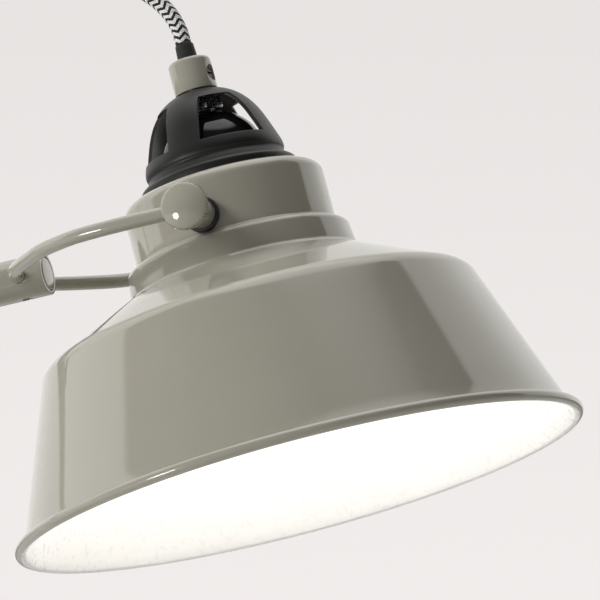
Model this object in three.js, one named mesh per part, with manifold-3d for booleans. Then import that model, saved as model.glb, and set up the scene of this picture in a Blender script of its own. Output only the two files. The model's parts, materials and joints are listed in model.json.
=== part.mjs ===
// Architect desk lamp: a spun metal shade in a round-rod bail, on two tubular arms and a weighted
// round base. Millimetres, +Z up, the origin on the table under the swivel post. The arms fold in
// the XZ plane, the shade hangs on the +X side, and every hinge axis runs along Y.
import * as THREE from 'three';
import { mergeVertices } from 'three/addons/utils/BufferGeometryUtils.js';
import Module from 'manifold-3d';

const wasm = await Module();
wasm.setup();

// ---------------------------------------------------------------- driving dimensions
const GAP = 0.3;                 // between pieces that touch
const RUN = 0.3;                 // radial clearance of a shaft or a spigot in its hole

// how the lamp stands at rest, in degrees
const LOWER_LEAN = 20;           // lower arm, back from upright
const UPPER_RISE = 10.4;         // upper arm, above level
const SHADE_LEAN = 15;           // shade axis, its top towards the arms

// arms
const TUBE_R = 8.3;
const TUBE_WALL = 1.4;
const LOWER_LENGTH = 360;        // hinge to hinge
const UPPER_LENGTH = 460;        // elbow hinge to shade hinge

// shade, heights above the plane of its rim
const RIM_R = 109.8;
const LIP_R = 2.1;
const SHADE_WALL = 1;
const CONE_TOP_R = 83.5;
const CONE_TOP_Z = 65;
const SHOULDER_ROUND = 9;
const COLLAR_R = 44.3;
const COLLAR_FOOT_Z = 84.2;
const COLLAR_TOP_Z = 95.4;
const NECK_R = 38.9;
const SHADE_TOP_Z = 120;
const NECK_ROUND = 4.5;
const LIP_STEP = 4.1;            // how far the lip stands out past the cone's foot
const PAD_ABOVE_COLLAR = 0.6;    // shade hinge washer clear of the collar

// socket cap over the lampholder
const CAP_FOOT_R = 30.3;
const CAP_WAIST_R = 26.3;
const CAP_SKIRT = 3.6;            // height of the straight foot
const CAP_WALL = 1.4;
const CAP_RIB = 13.3;            // width of the ribs between the windows
const CAP_WINDOWS = 4;
const CAP_TURN = -54;            // direction of the first window, in degrees
const WINDOW_FOOT_Z = 133.8;
const WINDOW_TOP_Z = 152.2;
const DOME_R = 26.3;
const DOME_CENTRE = [-1.6, 133.6];
const CAP_TOP_Z = 157.6;

// lampholder, nipple, cord grip and its sleeve
const HOLDER_R = 19.6;
const HOLDER_FOOT_Z = 89;
const HOLDER_DOME_Z = 133;
const HOLDER_TOP_Z = 149.4;
const NIPPLE_R = 5;
const GRIP_R = 8.3;
const GRIP_TOP_Z = 171;
const GRIP_SCREW_Z = 163.6;
const GRIP_SCREW_TURN = -8;
const SLEEVE_TOP_Z = 177.6;
const SLEEVE_TOP_R = 3.5;
const SLEEVE_BASE_R = 3.9;
const CORD_R = 3.1;
const BULB_R = 22.5;

// shade hinge, distances out from the shade's axis
const STUD_R = 2.5;
const PAD_R = 6.8;
const SHADE_HINGE_Z = COLLAR_TOP_Z + PAD_R + PAD_ABOVE_COLLAR;
const PAD_THICK = 3;
const BUSH_R = 5.9;
const BUSH_LENGTH = 17.3;
const KNOB_R = 9;
const KNOB_THICK = 5.5;
const ROD_R = 2.75;

// arm hinges
const TONGUE_THICK = 9;
const HINGE_PAD = 1.5;
const EAR_THICK = 4;
const EAR_R = 11;
const TONGUE_R = 9.5;
const BOLT_R = 3;
const BLADE_HALF = 5.5;          // half width of a tongue's neck
const SPIGOT_LENGTH = 12;

// base
const BASE_R = 100;
const BASE_EDGE_Z = 15;
const BASE_TOP_Z = 23;
const COVER_WALL = 1.2;
const FOOT_THICK = 2.5;
const POST_R = 13;
const POST_TOP_Z = 34;
const BASE_HINGE_Z = 74;
const GLAND_Z = 9.5;
const GLAND_LENGTH = 30;
const GLAND_R = 5;
const STEM_R = 8;                // spigot of the post through the base
const PIN_R = 6;                 // pivot pin on top of the post
const PIN_LENGTH = 12;
const POST_NUT_FLATS = 22;

// ---------------------------------------------------------------- shaping helpers
const rad = THREE.MathUtils.degToRad;

function toSolid(geometry) {
  const bare = geometry.clone();
  bare.deleteAttribute('normal');
  bare.deleteAttribute('uv');
  const merged = mergeVertices(bare, 1e-4);
  const corners = [];
  for (let i = 0; i < merged.index.count; i += 3) {
    const [a, b, c] = [0, 1, 2].map((k) => merged.index.getX(i + k));
    if (a !== b && b !== c && c !== a) corners.push(a, b, c);
  }
  return new wasm.Manifold(new wasm.Mesh({
    numProp: 3,
    vertProperties: new Float32Array(merged.attributes.position.array),
    triVerts: new Uint32Array(corners),
  }));
}

function toGeometry(solid) {
  const mesh = solid.getMesh();
  const geometry = new THREE.BufferGeometry();
  geometry.setAttribute('position', new THREE.BufferAttribute(mesh.vertProperties, 3));
  geometry.setIndex(new THREE.BufferAttribute(mesh.triVerts, 1));
  return geometry;
}

function cut(geometry, ...tools) {
  return toGeometry(tools.reduce((body, tool) => body.subtract(toSolid(tool)), toSolid(geometry)));
}

function join(geometry, ...others) {
  return toGeometry(others.reduce((body, other) => body.add(toSolid(other)), toSolid(geometry)));
}

// A closed outline of [radius, height] points turned about Z, faces outwards.
function turned(outline, sides = 18) {
  const area = outline.reduce((sum, [r, z], i) => {
    const [r2, z2] = outline[(i + 1) % outline.length];
    return sum + r * z2 - r2 * z;
  }, 0);
  const facing = area > 0 ? outline : [...outline].reverse();
  const points = facing.map(([r, z]) => new THREE.Vector2(r, z));
  points.push(points[0].clone());
  return new THREE.LatheGeometry(points, sides).rotateX(Math.PI / 2);
}

// A rod along Z from low to high.
function rod(radius, low, high, sides = 14) {
  return new THREE.CylinderGeometry(radius, radius, high - low, sides)
    .rotateX(Math.PI / 2)
    .translate(0, 0, (low + high) / 2);
}

// The same rod along Y, and along X.
const rodY = (radius, low, high, sides) => rod(radius, low, high, sides).rotateX(-Math.PI / 2);
const rodX = (radius, low, high, sides) => rod(radius, low, high, sides).rotateY(Math.PI / 2);

function box(low, high) {
  const size = high.map((value, i) => value - low[i]);
  return new THREE.BoxGeometry(...size).translate(...low.map((value, i) => value + size[i] / 2));
}

function washer(outer, inner, low, high, sides = 18) {
  return turned([[inner, low], [outer, low], [outer, high], [inner, high]], sides);
}

// An open line of [x, z, round] corners with each corner rounded by an arc.
function rounded(corners, steps = 2) {
  const line = [];
  corners.forEach(([x, z, round = 0], i) => {
    const before = corners[i - 1];
    const after = corners[i + 1];
    if (!round || !before || !after) {
      line.push([x, z]);
      return;
    }
    const corner = new THREE.Vector2(x, z);
    const back = new THREE.Vector2(before[0], before[1]).sub(corner).normalize();
    const ahead = new THREE.Vector2(after[0], after[1]).sub(corner).normalize();
    const half = Math.acos(THREE.MathUtils.clamp(back.dot(ahead), -1, 1)) / 2;
    const middle = back.clone().add(ahead).normalize();
    const centre = corner.clone().addScaledVector(middle, round / Math.sin(half));
    const start = corner.clone().addScaledVector(back, round / Math.tan(half)).sub(centre);
    const sweep = Math.PI - 2 * half;
    const turn = Math.sign(back.x * ahead.y - back.y * ahead.x);
    for (let k = 0; k <= steps; k += 1) {
      const point = start.clone().rotateAround(new THREE.Vector2(), -turn * sweep * k / steps);
      line.push([centre.x + point.x, centre.y + point.y]);
    }
  });
  return line;
}

// The same corners moved sideways by a wall; a round grows or shrinks with the side it is on.
function inset(corners, wall) {
  const sides = corners.slice(1).map(([x, z], i) => {
    const along = new THREE.Vector2(x - corners[i][0], z - corners[i][1]).normalize();
    return { along, shift: new THREE.Vector2(-along.y, along.x).multiplyScalar(wall) };
  });
  return corners.map(([x, z, round = 0], i) => {
    const into = sides[Math.max(0, i - 1)];
    const out = sides[Math.min(i, sides.length - 1)];
    const turn = into.along.x * out.along.y - into.along.y * out.along.x;
    const middle = into.shift.clone().add(out.shift);
    const reach = middle.clone().multiplyScalar(wall * wall * 2 / middle.lengthSq());
    const newRound = round ? Math.max(0.2, round - Math.sign(turn) * wall) : 0;
    return [x + reach.x, z + reach.y, newRound];
  });
}

function circle(radius, sides) {
  const shape = new THREE.Shape();
  for (let i = 0; i <= sides; i += 1) {
    const angle = 2 * Math.PI * i / sides;
    const [x, y] = [radius * Math.cos(angle), radius * Math.sin(angle)];
    if (i === 0) shape.moveTo(x, y);
    else if (i < sides) shape.lineTo(x, y);
  }
  shape.closePath();
  return shape;
}

// A round bar that follows a smooth curve through the points.
function bar(points, radius, steps, sides = 10) {
  const path = new THREE.CatmullRomCurve3(points.map((p) => new THREE.Vector3(...p)));
  return new THREE.ExtrudeGeometry(circle(radius, sides), { steps, extrudePath: path });
}

function prism(outline, low, high) {
  const shape = new THREE.Shape(outline.map(([x, y]) => new THREE.Vector2(x, y)));
  return new THREE.ExtrudeGeometry(shape, { depth: high - low, bevelEnabled: false })
    .translate(0, 0, low);
}

function hexagon(acrossFlats) {
  const radius = acrossFlats / Math.sqrt(3);
  const turns = [0, 60, 120, 180, 240, 300];
  return turns.map((turn) => [radius * Math.cos(rad(turn)), radius * Math.sin(rad(turn))]);
}

function piece(parent, name, geometry, finish) {
  const mesh = new THREE.Mesh(geometry, new THREE.MeshStandardMaterial(finish));
  mesh.name = name;
  parent.add(mesh);
  return mesh;
}

// ---------------------------------------------------------------- finishes
const SAGE = { color: 0xa3a294, roughness: 0.28, metalness: 0.0 };
const BLACK_SATIN = { color: 0x1c1c1c, roughness: 0.5, metalness: 0.0 };
const BLACK_GLOSS = { color: 0x0c0c0c, roughness: 0.1, metalness: 0.0 };
const RUBBER = { color: 0x161616, roughness: 0.8, metalness: 0.0 };
const ZINC = { color: 0xa9acae, roughness: 0.3, metalness: 1.0 };
const BRASS = { color: 0xb59a55, roughness: 0.35, metalness: 1.0 };
const IRON = { color: 0x3a3a3a, roughness: 0.7, metalness: 1.0 };
const BLACK_STEEL = { color: 0x242424, roughness: 0.45, metalness: 1.0 };
const CLOTH = { color: 0x707070, roughness: 0.9, metalness: 0.0 };
const OPAL = { color: 0xf4f2ec, roughness: 0.4, metalness: 0.0 };

// ---------------------------------------------------------------- groups, hinge to hinge
const lamp = new THREE.Group();

const swivel = new THREE.Group();
lamp.add(swivel);

const lowerArm = new THREE.Group();              // local +Z runs up the lower arm
lowerArm.position.set(0, 0, BASE_HINGE_Z);
lowerArm.rotation.y = rad(-LOWER_LEAN);
swivel.add(lowerArm);

const upperArm = new THREE.Group();              // local +X runs along the upper arm
upperArm.position.set(0, 0, LOWER_LENGTH);
upperArm.rotation.y = rad(LOWER_LEAN - UPPER_RISE);
lowerArm.add(upperArm);

const shadeHinge = new THREE.Group();            // local +X still runs along the upper arm
shadeHinge.position.set(UPPER_LENGTH, 0, 0);
upperArm.add(shadeHinge);

const shadeGroup = new THREE.Group();            // local Z is the shade's axis, 0 at the rim
const shadeTurn = rad(UPPER_RISE - SHADE_LEAN);
shadeGroup.rotation.y = shadeTurn;
shadeGroup.position.set(-SHADE_HINGE_Z * Math.sin(shadeTurn), 0, -SHADE_HINGE_Z * Math.cos(shadeTurn));
shadeHinge.add(shadeGroup);

// ---------------------------------------------------------------- base
const BORE_R = TUBE_R - TUBE_WALL;
const WEIGHT_R = BASE_R - 8;
const WEIGHT_LOW = FOOT_THICK + GAP;
const WEIGHT_HIGH = 16.5;
const CHANNEL_HALF = 6;                          // half width of the weight's cord channel

function makeBase() {
  piece(lamp, 'foot_pad', rod(BASE_R - 2.5, 0, FOOT_THICK, 40), RUBBER);

  const weight = turned(rounded([[STEM_R + RUN, WEIGHT_LOW], [WEIGHT_R - 2, WEIGHT_LOW],
    [WEIGHT_R, WEIGHT_LOW + 2], [WEIGHT_R, BASE_EDGE_Z - 3], [WEIGHT_R - 6, WEIGHT_HIGH],
    [STEM_R + RUN, WEIGHT_HIGH]]), 36);
  const nutPocket = rod(16, WEIGHT_LOW - 1, WEIGHT_LOW + 7);
  const channel = box([-WEIGHT_R - 2, -CHANNEL_HALF, WEIGHT_LOW - 1], [-10, CHANNEL_HALF, GLAND_Z + 5]);
  piece(lamp, 'base_weight', cut(weight, nutPocket, channel), IRON);

  const outer = [[STEM_R + RUN, BASE_TOP_Z], [POST_R + 8, BASE_TOP_Z, 30],
    [BASE_R - 12, BASE_EDGE_Z + 3.2, 14], [BASE_R, BASE_EDGE_Z - 5, 7], [BASE_R, WEIGHT_LOW]];
  const inner = inset(outer, -COVER_WALL);
  const cover = turned([...rounded(outer, 2), ...rounded(inner, 1).reverse()], 40);
  const glandHole = rodX(GLAND_R + RUN, -BASE_R - 5, -BASE_R + 6, 12).translate(0, 0, GLAND_Z);
  piece(lamp, 'base_cover', cut(cover, glandHole), SAGE);

  const post = turned([[0, WEIGHT_LOW + 1], [STEM_R, WEIGHT_LOW + 1], [STEM_R, BASE_TOP_Z + GAP],
    [POST_R, BASE_TOP_Z + GAP], [POST_R, POST_TOP_Z - 2], [POST_R - 2, POST_TOP_Z], [PIN_R, POST_TOP_Z],
    [PIN_R, POST_TOP_Z + PIN_LENGTH], [0, POST_TOP_Z + PIN_LENGTH]]);
  piece(lamp, 'swivel_post', post, SAGE);

  const nutBlank = prism(hexagon(POST_NUT_FLATS), WEIGHT_LOW + 1.2, WEIGHT_LOW + 6.5);
  const nut = cut(nutBlank, rod(STEM_R + RUN, 0, 12));
  piece(lamp, 'post_nut', nut, ZINC);

  const gland = turned([[0, 0], [GLAND_R, 0], [GLAND_R, 6], [GLAND_R + 2, 6.3], [GLAND_R + 2, 8.3],
    [GLAND_R, 9], [CORD_R + 0.5, GLAND_LENGTH], [0, GLAND_LENGTH]], 20)
    .rotateY(-Math.PI / 2)
    .translate(-BASE_R + 6, 0, GLAND_Z);
  piece(lamp, 'base_gland', gland, RUBBER);
}

// ---------------------------------------------------------------- hinge pieces, shared by both arm hinges
const SLOT_HALF = TONGUE_THICK / 2 + HINGE_PAD + 2 * GAP;
const EAR_FACE = SLOT_HALF + EAR_THICK;          // outside of an ear, from the middle plane
const FORK_FLOOR = 14;                           // hinge axis to the bottom of the slot
const COLLAR_START = 24;                         // hinge axis to the collar that the tube meets
const COLLAR_LENGTH = 3;
const TUBE_START = COLLAR_START + COLLAR_LENGTH + GAP;

// A fork with its hinge axis at the origin and its stem down along -Z.
function fork(stem) {
  const ears = join(rodY(EAR_R, -EAR_FACE, EAR_FACE, 18),
    box([-EAR_R, -EAR_FACE, -COLLAR_START], [EAR_R, EAR_FACE, 0]));
  const slot = box([-EAR_R - 1, -SLOT_HALF, -FORK_FLOOR], [EAR_R + 1, SLOT_HALF, EAR_R + 1]);
  return cut(join(ears, stem), slot, rodY(BOLT_R + RUN, -EAR_FACE - 1, EAR_FACE + 1));
}

// A tongue with its hinge axis at the origin and its spigot along -Z.
function tongue() {
  const half = TONGUE_THICK / 2;
  const neck = box([-BLADE_HALF, -half, -COLLAR_START - 1], [BLADE_HALF, half, 0]);
  const blade = join(rodY(TONGUE_R, -half, half, 18), neck);
  const stem = join(rod(TUBE_R, -COLLAR_START - COLLAR_LENGTH, -COLLAR_START, 18),
    rod(BORE_R - RUN, -TUBE_START - SPIGOT_LENGTH, -COLLAR_START - 1));
  return cut(join(blade, stem), rodY(BOLT_R + RUN, -half - 1, half + 1));
}

function tubeStem() {
  return join(rod(TUBE_R, -COLLAR_START - COLLAR_LENGTH, -COLLAR_START + 1, 18),
    rod(BORE_R - RUN, -TUBE_START - SPIGOT_LENGTH, -COLLAR_START));
}

const knobOutline = rounded([[0, 0], [KNOB_R - 0.8, 0], [KNOB_R, 0.8], [KNOB_R, KNOB_THICK - 1.6, 0.8],
  [KNOB_R - 1.6, KNOB_THICK - 0.5, 1.5], [0, KNOB_THICK]], 2);

// The clamping set of an arm hinge: bolt, two friction washers and the knurled knob on the -Y side.
function clampSet(parent, prefix, placeKnob) {
  const head = EAR_FACE + GAP;
  const boltEnd = -EAR_FACE - GAP - 4;
  const bolt = join(rodY(BOLT_R, boltEnd, head + 1, 12),
    prism(hexagon(10), head, head + 4.5).rotateX(-Math.PI / 2));
  piece(parent, `${prefix}_bolt`, bolt, ZINC);
  for (const [side, label] of [[-1, 'near'], [1, 'far']]) {
    const low = TONGUE_THICK / 2 + GAP;
    const pad = washer(TONGUE_R, BOLT_R + RUN, low, low + HINGE_PAD).rotateX(side * -Math.PI / 2);
    piece(parent, `${prefix}_washer_${label}`, pad, RUBBER);
  }
  const knob = cut(turned(knobOutline), rod(BOLT_R + RUN, -1, 4.3))
    .rotateX(Math.PI / 2)
    .translate(0, -EAR_FACE - GAP, 0);
  piece(placeKnob, `${prefix}_knob`, knob, SAGE);
}

// ---------------------------------------------------------------- swivel head and lower arm
const HUB_LOW = POST_TOP_Z + GAP;
const HUB_ENTRY_Z = POST_TOP_Z + 7.5;
const GROMMET_R = 4.6;
const GROMMET_SET = TUBE_START + SPIGOT_LENGTH + GROMMET_R + 2.1;   // hinge axis to a cord grommet
const GROMMET_OUT = 6;                           // how far a grommet stands out of the tube

// A rubber grommet whose axis runs along +Z from the tube's middle line.
function grommet(surface) {
  return turned([[0, surface - 2], [GROMMET_R, surface - 2], [GROMMET_R, surface + 0.6],
    [GROMMET_R + 1, surface + 1], [GROMMET_R + 1, surface + 2.4], [CORD_R + 0.6, surface + GROMMET_OUT],
    [0, surface + GROMMET_OUT]], 14);
}

function makeSwivelHead() {
  const drop = BASE_HINGE_Z;
  const hub = rod(POST_R, HUB_LOW - drop, -COLLAR_START + 2, 18);
  const head = cut(fork(hub), rod(PIN_R + RUN, HUB_LOW - drop - 1, POST_TOP_Z + PIN_LENGTH + 0.5 - drop));
  const entry = rodX(GROMMET_R + RUN, -POST_R - 2, -PIN_R - 3).translate(0, 0, HUB_ENTRY_Z - drop);
  piece(swivel, 'swivel_head', cut(head, entry), SAGE).position.z = BASE_HINGE_Z;
  const inlet = grommet(POST_R).rotateY(-Math.PI / 2).translate(0, 0, HUB_ENTRY_Z);
  piece(swivel, 'hub_grommet', inlet, RUBBER);

  const hinge = new THREE.Group();
  hinge.position.z = BASE_HINGE_Z;
  swivel.add(hinge);
  clampSet(hinge, 'base_hinge', hinge);
}

function makeLowerArm() {
  piece(lowerArm, 'lower_arm_tongue', tongue().rotateX(Math.PI), SAGE);
  piece(lowerArm, 'elbow_fork', fork(tubeStem()).translate(0, 0, LOWER_LENGTH), SAGE);

  const low = TUBE_START;
  const high = LOWER_LENGTH - TUBE_START;
  const tube = washer(TUBE_R, BORE_R, low, high);
  const ports = [GROMMET_SET, LOWER_LENGTH - GROMMET_SET];
  const holes = ports.map((z) => rodX(GROMMET_R + RUN, -TUBE_R - 1, -2).translate(0, 0, z));
  piece(lowerArm, 'lower_arm_tube', cut(tube, ...holes), SAGE);
  ports.forEach((z, i) => {
    const plug = grommet(TUBE_R).rotateY(-Math.PI / 2).translate(0, 0, z);
    piece(lowerArm, ['lower_arm_grommet_foot', 'lower_arm_grommet_top'][i], plug, RUBBER);
  });

  const hinge = new THREE.Group();
  hinge.position.z = LOWER_LENGTH;
  lowerArm.add(hinge);
  clampSet(hinge, 'elbow', hinge);
}

// ---------------------------------------------------------------- upper arm, bail and its bushes
const ARM_END = 75;                              // shade hinge to the upper arm's end face
const BAIL_CROSS = 84.5;                         // shade hinge to where the bail passes the arm
const HEAD_PORT = 185;                           // shade hinge to the head cord's grommet
const PLUG_LENGTH = 22;
const BUSH_LOW = NECK_R + 2 * GAP + PAD_THICK + GAP;
const BUSH_HIGH = BUSH_LOW + BUSH_LENGTH;
const BAIL_HALF = BUSH_HIGH - ROD_R - 0.8;       // bail leg, out from the middle plane

// One half of the bail's middle line, from the bush to the arm: [back along the arm, sideways].
const BAIL_HALF_LINE = [[STUD_R + 1.1, BAIL_HALF], [20, BAIL_HALF], [36, BAIL_HALF - 1],
  [46, BAIL_HALF - 3], [55, BAIL_HALF - 7.6], [63, BAIL_HALF - 13.4],
  [70.5, 34.6], [76.5, 26.9], [81.3, 19.5], [84, 13.2], [BAIL_CROSS, 8], [BAIL_CROSS, 3]];

function makeUpperArm() {
  piece(upperArm, 'upper_arm_tongue', tongue().rotateY(-Math.PI / 2), SAGE);

  const end = UPPER_LENGTH - ARM_END;
  const cross = UPPER_LENGTH - BAIL_CROSS;
  const crossHole = rodY(ROD_R + RUN, -TUBE_R - 1, TUBE_R + 1, 12).translate(cross, 0, 0);
  const screwHole = rod(2.2, -TUBE_R - 1, -ROD_R, 16).translate(cross, 0, 0);
  const tube = washer(TUBE_R, BORE_R, TUBE_START, end).rotateY(Math.PI / 2);
  const ports = [GROMMET_SET, UPPER_LENGTH - HEAD_PORT];
  const holes = ports.map((x) => rod(GROMMET_R + RUN, 2, TUBE_R + 1).translate(x, 0, 0));
  piece(upperArm, 'upper_arm_tube', cut(tube, crossHole, screwHole, ...holes), SAGE);
  ports.forEach((x, i) => {
    piece(upperArm, ['upper_arm_grommet_elbow', 'upper_arm_grommet_head'][i],
      grommet(TUBE_R).translate(x, 0, 0), RUBBER);
  });

  const plug = turned(rounded([[0, 0], [BORE_R - RUN, 0], [BORE_R - RUN, PLUG_LENGTH, 0.7],
    [0, PLUG_LENGTH + 0.3]]))
    .rotateY(Math.PI / 2)
    .translate(end - PLUG_LENGTH, 0, 0);
  piece(upperArm, 'arm_end_plug', cut(plug, crossHole, screwHole), SAGE);

  const screw = cut(rod(1.9, -TUBE_R + 0.8, -ROD_R - GAP, 16), rod(0.9, -TUBE_R, -TUBE_R + 2.6, 6));
  piece(upperArm, 'bail_set_screw', screw.translate(cross, 0, 0), BLACK_STEEL);

  const half = BAIL_HALF_LINE.map(([back, side]) => [-back, -side, 0]);
  const mirrored = [...half].reverse().map(([x, y, z]) => [x, -y, z]);
  piece(shadeHinge, 'bail_rod', bar([...half, ...mirrored], ROD_R, 48, 8), SAGE);
}

function makeShadeHinge() {
  const padLow = NECK_R + 2 * GAP;
  const knobLow = BUSH_HIGH + GAP;
  for (const [side, label] of [[-1, 'near'], [1, 'far']]) {
    const turnOut = side * -Math.PI / 2;
    const pad = washer(PAD_R, STUD_R + RUN, padLow, padLow + PAD_THICK).rotateX(turnOut);
    piece(shadeHinge, `tilt_washer_${label}`, pad, RUBBER);

    const bush = cut(washer(BUSH_R, STUD_R + RUN, BUSH_LOW, BUSH_HIGH).rotateX(turnOut),
      rodX(ROD_R + RUN, -BUSH_R - 2, -STUD_R - RUN - 0.5, 12).translate(0, side * BAIL_HALF, 0));
    piece(shadeHinge, `bail_bush_${label}`, bush, SAGE);

    const stud = join(rod(STUD_R, NECK_R - SHADE_WALL - GAP - 1, knobLow + 3.2, 12),
      rod(4.6, NECK_R - SHADE_WALL - 2 * GAP - 3, NECK_R - SHADE_WALL - 2 * GAP - 0.4, 24)).rotateX(turnOut);
    piece(shadeHinge, `tilt_screw_${label}`, stud, ZINC);

    const knob = cut(turned(knobOutline), rod(STUD_R + RUN, -1, 3.6))
      .translate(0, 0, knobLow)
      .rotateX(turnOut);
    piece(shadeHinge, `tilt_knob_${label}`, knob, SAGE);
  }
}

// ---------------------------------------------------------------- shade, cap and lampholder
const HOLDER_HOLE_R = HOLDER_R + 0.7;
const HOLDER_SIDES = 24;                         // facets of the holder and of the ring round it

function makeShade() {
  const outer = [[HOLDER_HOLE_R, SHADE_TOP_Z], [NECK_R, SHADE_TOP_Z, NECK_ROUND], [NECK_R, COLLAR_TOP_Z, 1.3],
    [COLLAR_R - 1.2, COLLAR_TOP_Z, 3], [COLLAR_R, COLLAR_FOOT_Z, 2], [CONE_TOP_R, CONE_TOP_Z, SHOULDER_ROUND],
    [RIM_R - LIP_STEP, 2 * LIP_R]];
  const inner = inset(outer, -SHADE_WALL);
  const lip = [];
  for (let angle = 140; angle >= -150; angle -= 58) {
    lip.push([RIM_R - LIP_R + LIP_R * Math.cos(rad(angle)), LIP_R + LIP_R * Math.sin(rad(angle))]);
  }
  const bell = turned([...rounded(outer, 3), ...lip, ...rounded(inner, 1).reverse()], 40);
  const studHoles = rodY(STUD_R + RUN, -NECK_R - 2, NECK_R + 2, 12).translate(0, 0, SHADE_HINGE_Z);
  piece(shadeGroup, 'shade', cut(bell, studHoles), SAGE);
}

function makeCap() {
  const dome = [];
  for (let angle = 12; angle <= 64; angle += 13) {
    const [out, up] = [Math.cos(rad(angle)), Math.sin(rad(angle))];
    dome.push([DOME_CENTRE[0] + DOME_R * out, DOME_CENTRE[1] + DOME_R * up]);
  }
  const foot = SHADE_TOP_Z + GAP;
  const skirtTop = foot + CAP_SKIRT;
  const side = [[CAP_FOOT_R, foot], [CAP_FOOT_R, skirtTop], [CAP_FOOT_R - 1.8, skirtTop + 1.9],
    [CAP_WAIST_R, skirtTop + 3.7], [CAP_WAIST_R + 0.3, skirtTop + 5], ...dome, [NIPPLE_R + RUN, CAP_TOP_Z]];
  const shell = turned([...side, ...inset(side, CAP_WALL).reverse()], 28);
  const shelf = CAP_RIB / 2 / Math.sin(rad(180 / CAP_WINDOWS));
  const reach = 40;
  const corners = [[shelf, 0], [shelf + reach, -reach], [shelf + reach, reach]];
  const wedge = prism(corners, WINDOW_FOOT_Z, WINDOW_TOP_Z);
  const windows = [];
  for (let i = 0; i < CAP_WINDOWS; i += 1) {
    windows.push(wedge.clone().rotateZ(rad(CAP_TURN + 360 * i / CAP_WINDOWS)));
  }
  piece(shadeGroup, 'socket_cap', cut(shell, ...windows), BLACK_SATIN);
}

function makeLampholder() {
  const wall = 2.2;
  const shoulder = SHADE_TOP_Z + GAP;
  const domeRise = HOLDER_TOP_Z - HOLDER_DOME_Z;
  const dome = [];
  for (let angle = 0; angle <= 75; angle += 25) {
    dome.push([HOLDER_R * Math.cos(rad(angle)), HOLDER_DOME_Z + domeRise * Math.sin(rad(angle))]);
  }
  const body = turned([[HOLDER_R, HOLDER_FOOT_Z], [HOLDER_R, shoulder], [HOLDER_R + 2.6, shoulder],
    [HOLDER_R + 2.6, shoulder + 2], [HOLDER_R, shoulder + 2.4], ...dome, [NIPPLE_R + RUN, HOLDER_TOP_Z],
    [NIPPLE_R + RUN, HOLDER_TOP_Z - wall], [HOLDER_R - wall, HOLDER_DOME_Z - 4],
    [HOLDER_R - wall, HOLDER_FOOT_Z]], HOLDER_SIDES);
  piece(shadeGroup, 'lampholder', body, BLACK_GLOSS);

  const shellR = HOLDER_R - wall - GAP;
  const screwShell = turned([[shellR, HOLDER_FOOT_Z + 2], [shellR, SHADE_TOP_Z - 2], [4, SHADE_TOP_Z - 2],
    [4, SHADE_TOP_Z - 3.5], [shellR - 1.6, SHADE_TOP_Z - 3.5], [shellR - 1.6, HOLDER_FOOT_Z + 2]]);
  piece(shadeGroup, 'lampholder_shell', screwShell, BRASS);

  const ringTop = SHADE_TOP_Z - SHADE_WALL - GAP;
  const ring = washer(HOLDER_R + 6.5, HOLDER_R + RUN, ringTop - 4.5, ringTop, HOLDER_SIDES);
  piece(shadeGroup, 'shade_ring', ring, BLACK_SATIN);

  const nipple = washer(NIPPLE_R, CORD_R + 0.4, HOLDER_TOP_Z - 3, GRIP_TOP_Z - 6, 24);
  piece(shadeGroup, 'cord_nipple', nipple, ZINC);
  const nutLow = HOLDER_TOP_Z + GAP;
  const nut = cut(prism(hexagon(15), nutLow, nutLow + 5), rod(NIPPLE_R + RUN, nutLow - 1, nutLow + 6));
  piece(shadeGroup, 'clamp_nut', nut, ZINC);

  const gripLow = CAP_TOP_Z + GAP;
  const grip = turned([[NIPPLE_R + RUN, gripLow], ...rounded([[GRIP_R, gripLow], [GRIP_R, GRIP_TOP_Z, 1.8],
    [SLEEVE_BASE_R + RUN, GRIP_TOP_Z]]), [SLEEVE_BASE_R + RUN, GRIP_TOP_Z - 5.4],
  [NIPPLE_R + RUN, GRIP_TOP_Z - 5.7]]);
  const recess = rodX(3.3, NIPPLE_R - 1, GRIP_R + 2, 12)
    .translate(0, 0, GRIP_SCREW_Z)
    .rotateZ(rad(GRIP_SCREW_TURN));
  piece(shadeGroup, 'cord_grip', cut(grip, recess), SAGE);
  const slot = box([GRIP_R - 1.8, -3, -0.4], [GRIP_R, 3, 0.4]);
  const screw = cut(rodX(2.9, NIPPLE_R + GAP, GRIP_R - 1, 12), slot)
    .translate(0, 0, GRIP_SCREW_Z)
    .rotateZ(rad(GRIP_SCREW_TURN));
  piece(shadeGroup, 'grip_screw', screw, ZINC);

  const sleeve = turned([[0, GRIP_TOP_Z - 5], [SLEEVE_BASE_R, GRIP_TOP_Z - 5], [SLEEVE_BASE_R, GRIP_TOP_Z],
    [SLEEVE_TOP_R, SLEEVE_TOP_Z], [0, SLEEVE_TOP_Z]], 20);
  piece(shadeGroup, 'strain_sleeve', sleeve, RUBBER);
}

function makeBulb() {
  const baseR = 13;
  const baseTop = SHADE_TOP_Z - 4.5;
  const baseFoot = HOLDER_FOOT_Z + 1;
  const centre = baseFoot - BULB_R - 3;
  const globe = [];
  for (let angle = -90; angle <= 60; angle += 18.75) {
    globe.push([BULB_R * Math.cos(rad(angle)), centre + BULB_R * Math.sin(rad(angle))]);
  }
  piece(shadeGroup, 'bulb', turned([...globe, [baseR, baseFoot], [baseR, baseTop - 4], [5, baseTop],
    [0, baseTop]], 20), OPAL);
}

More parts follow.
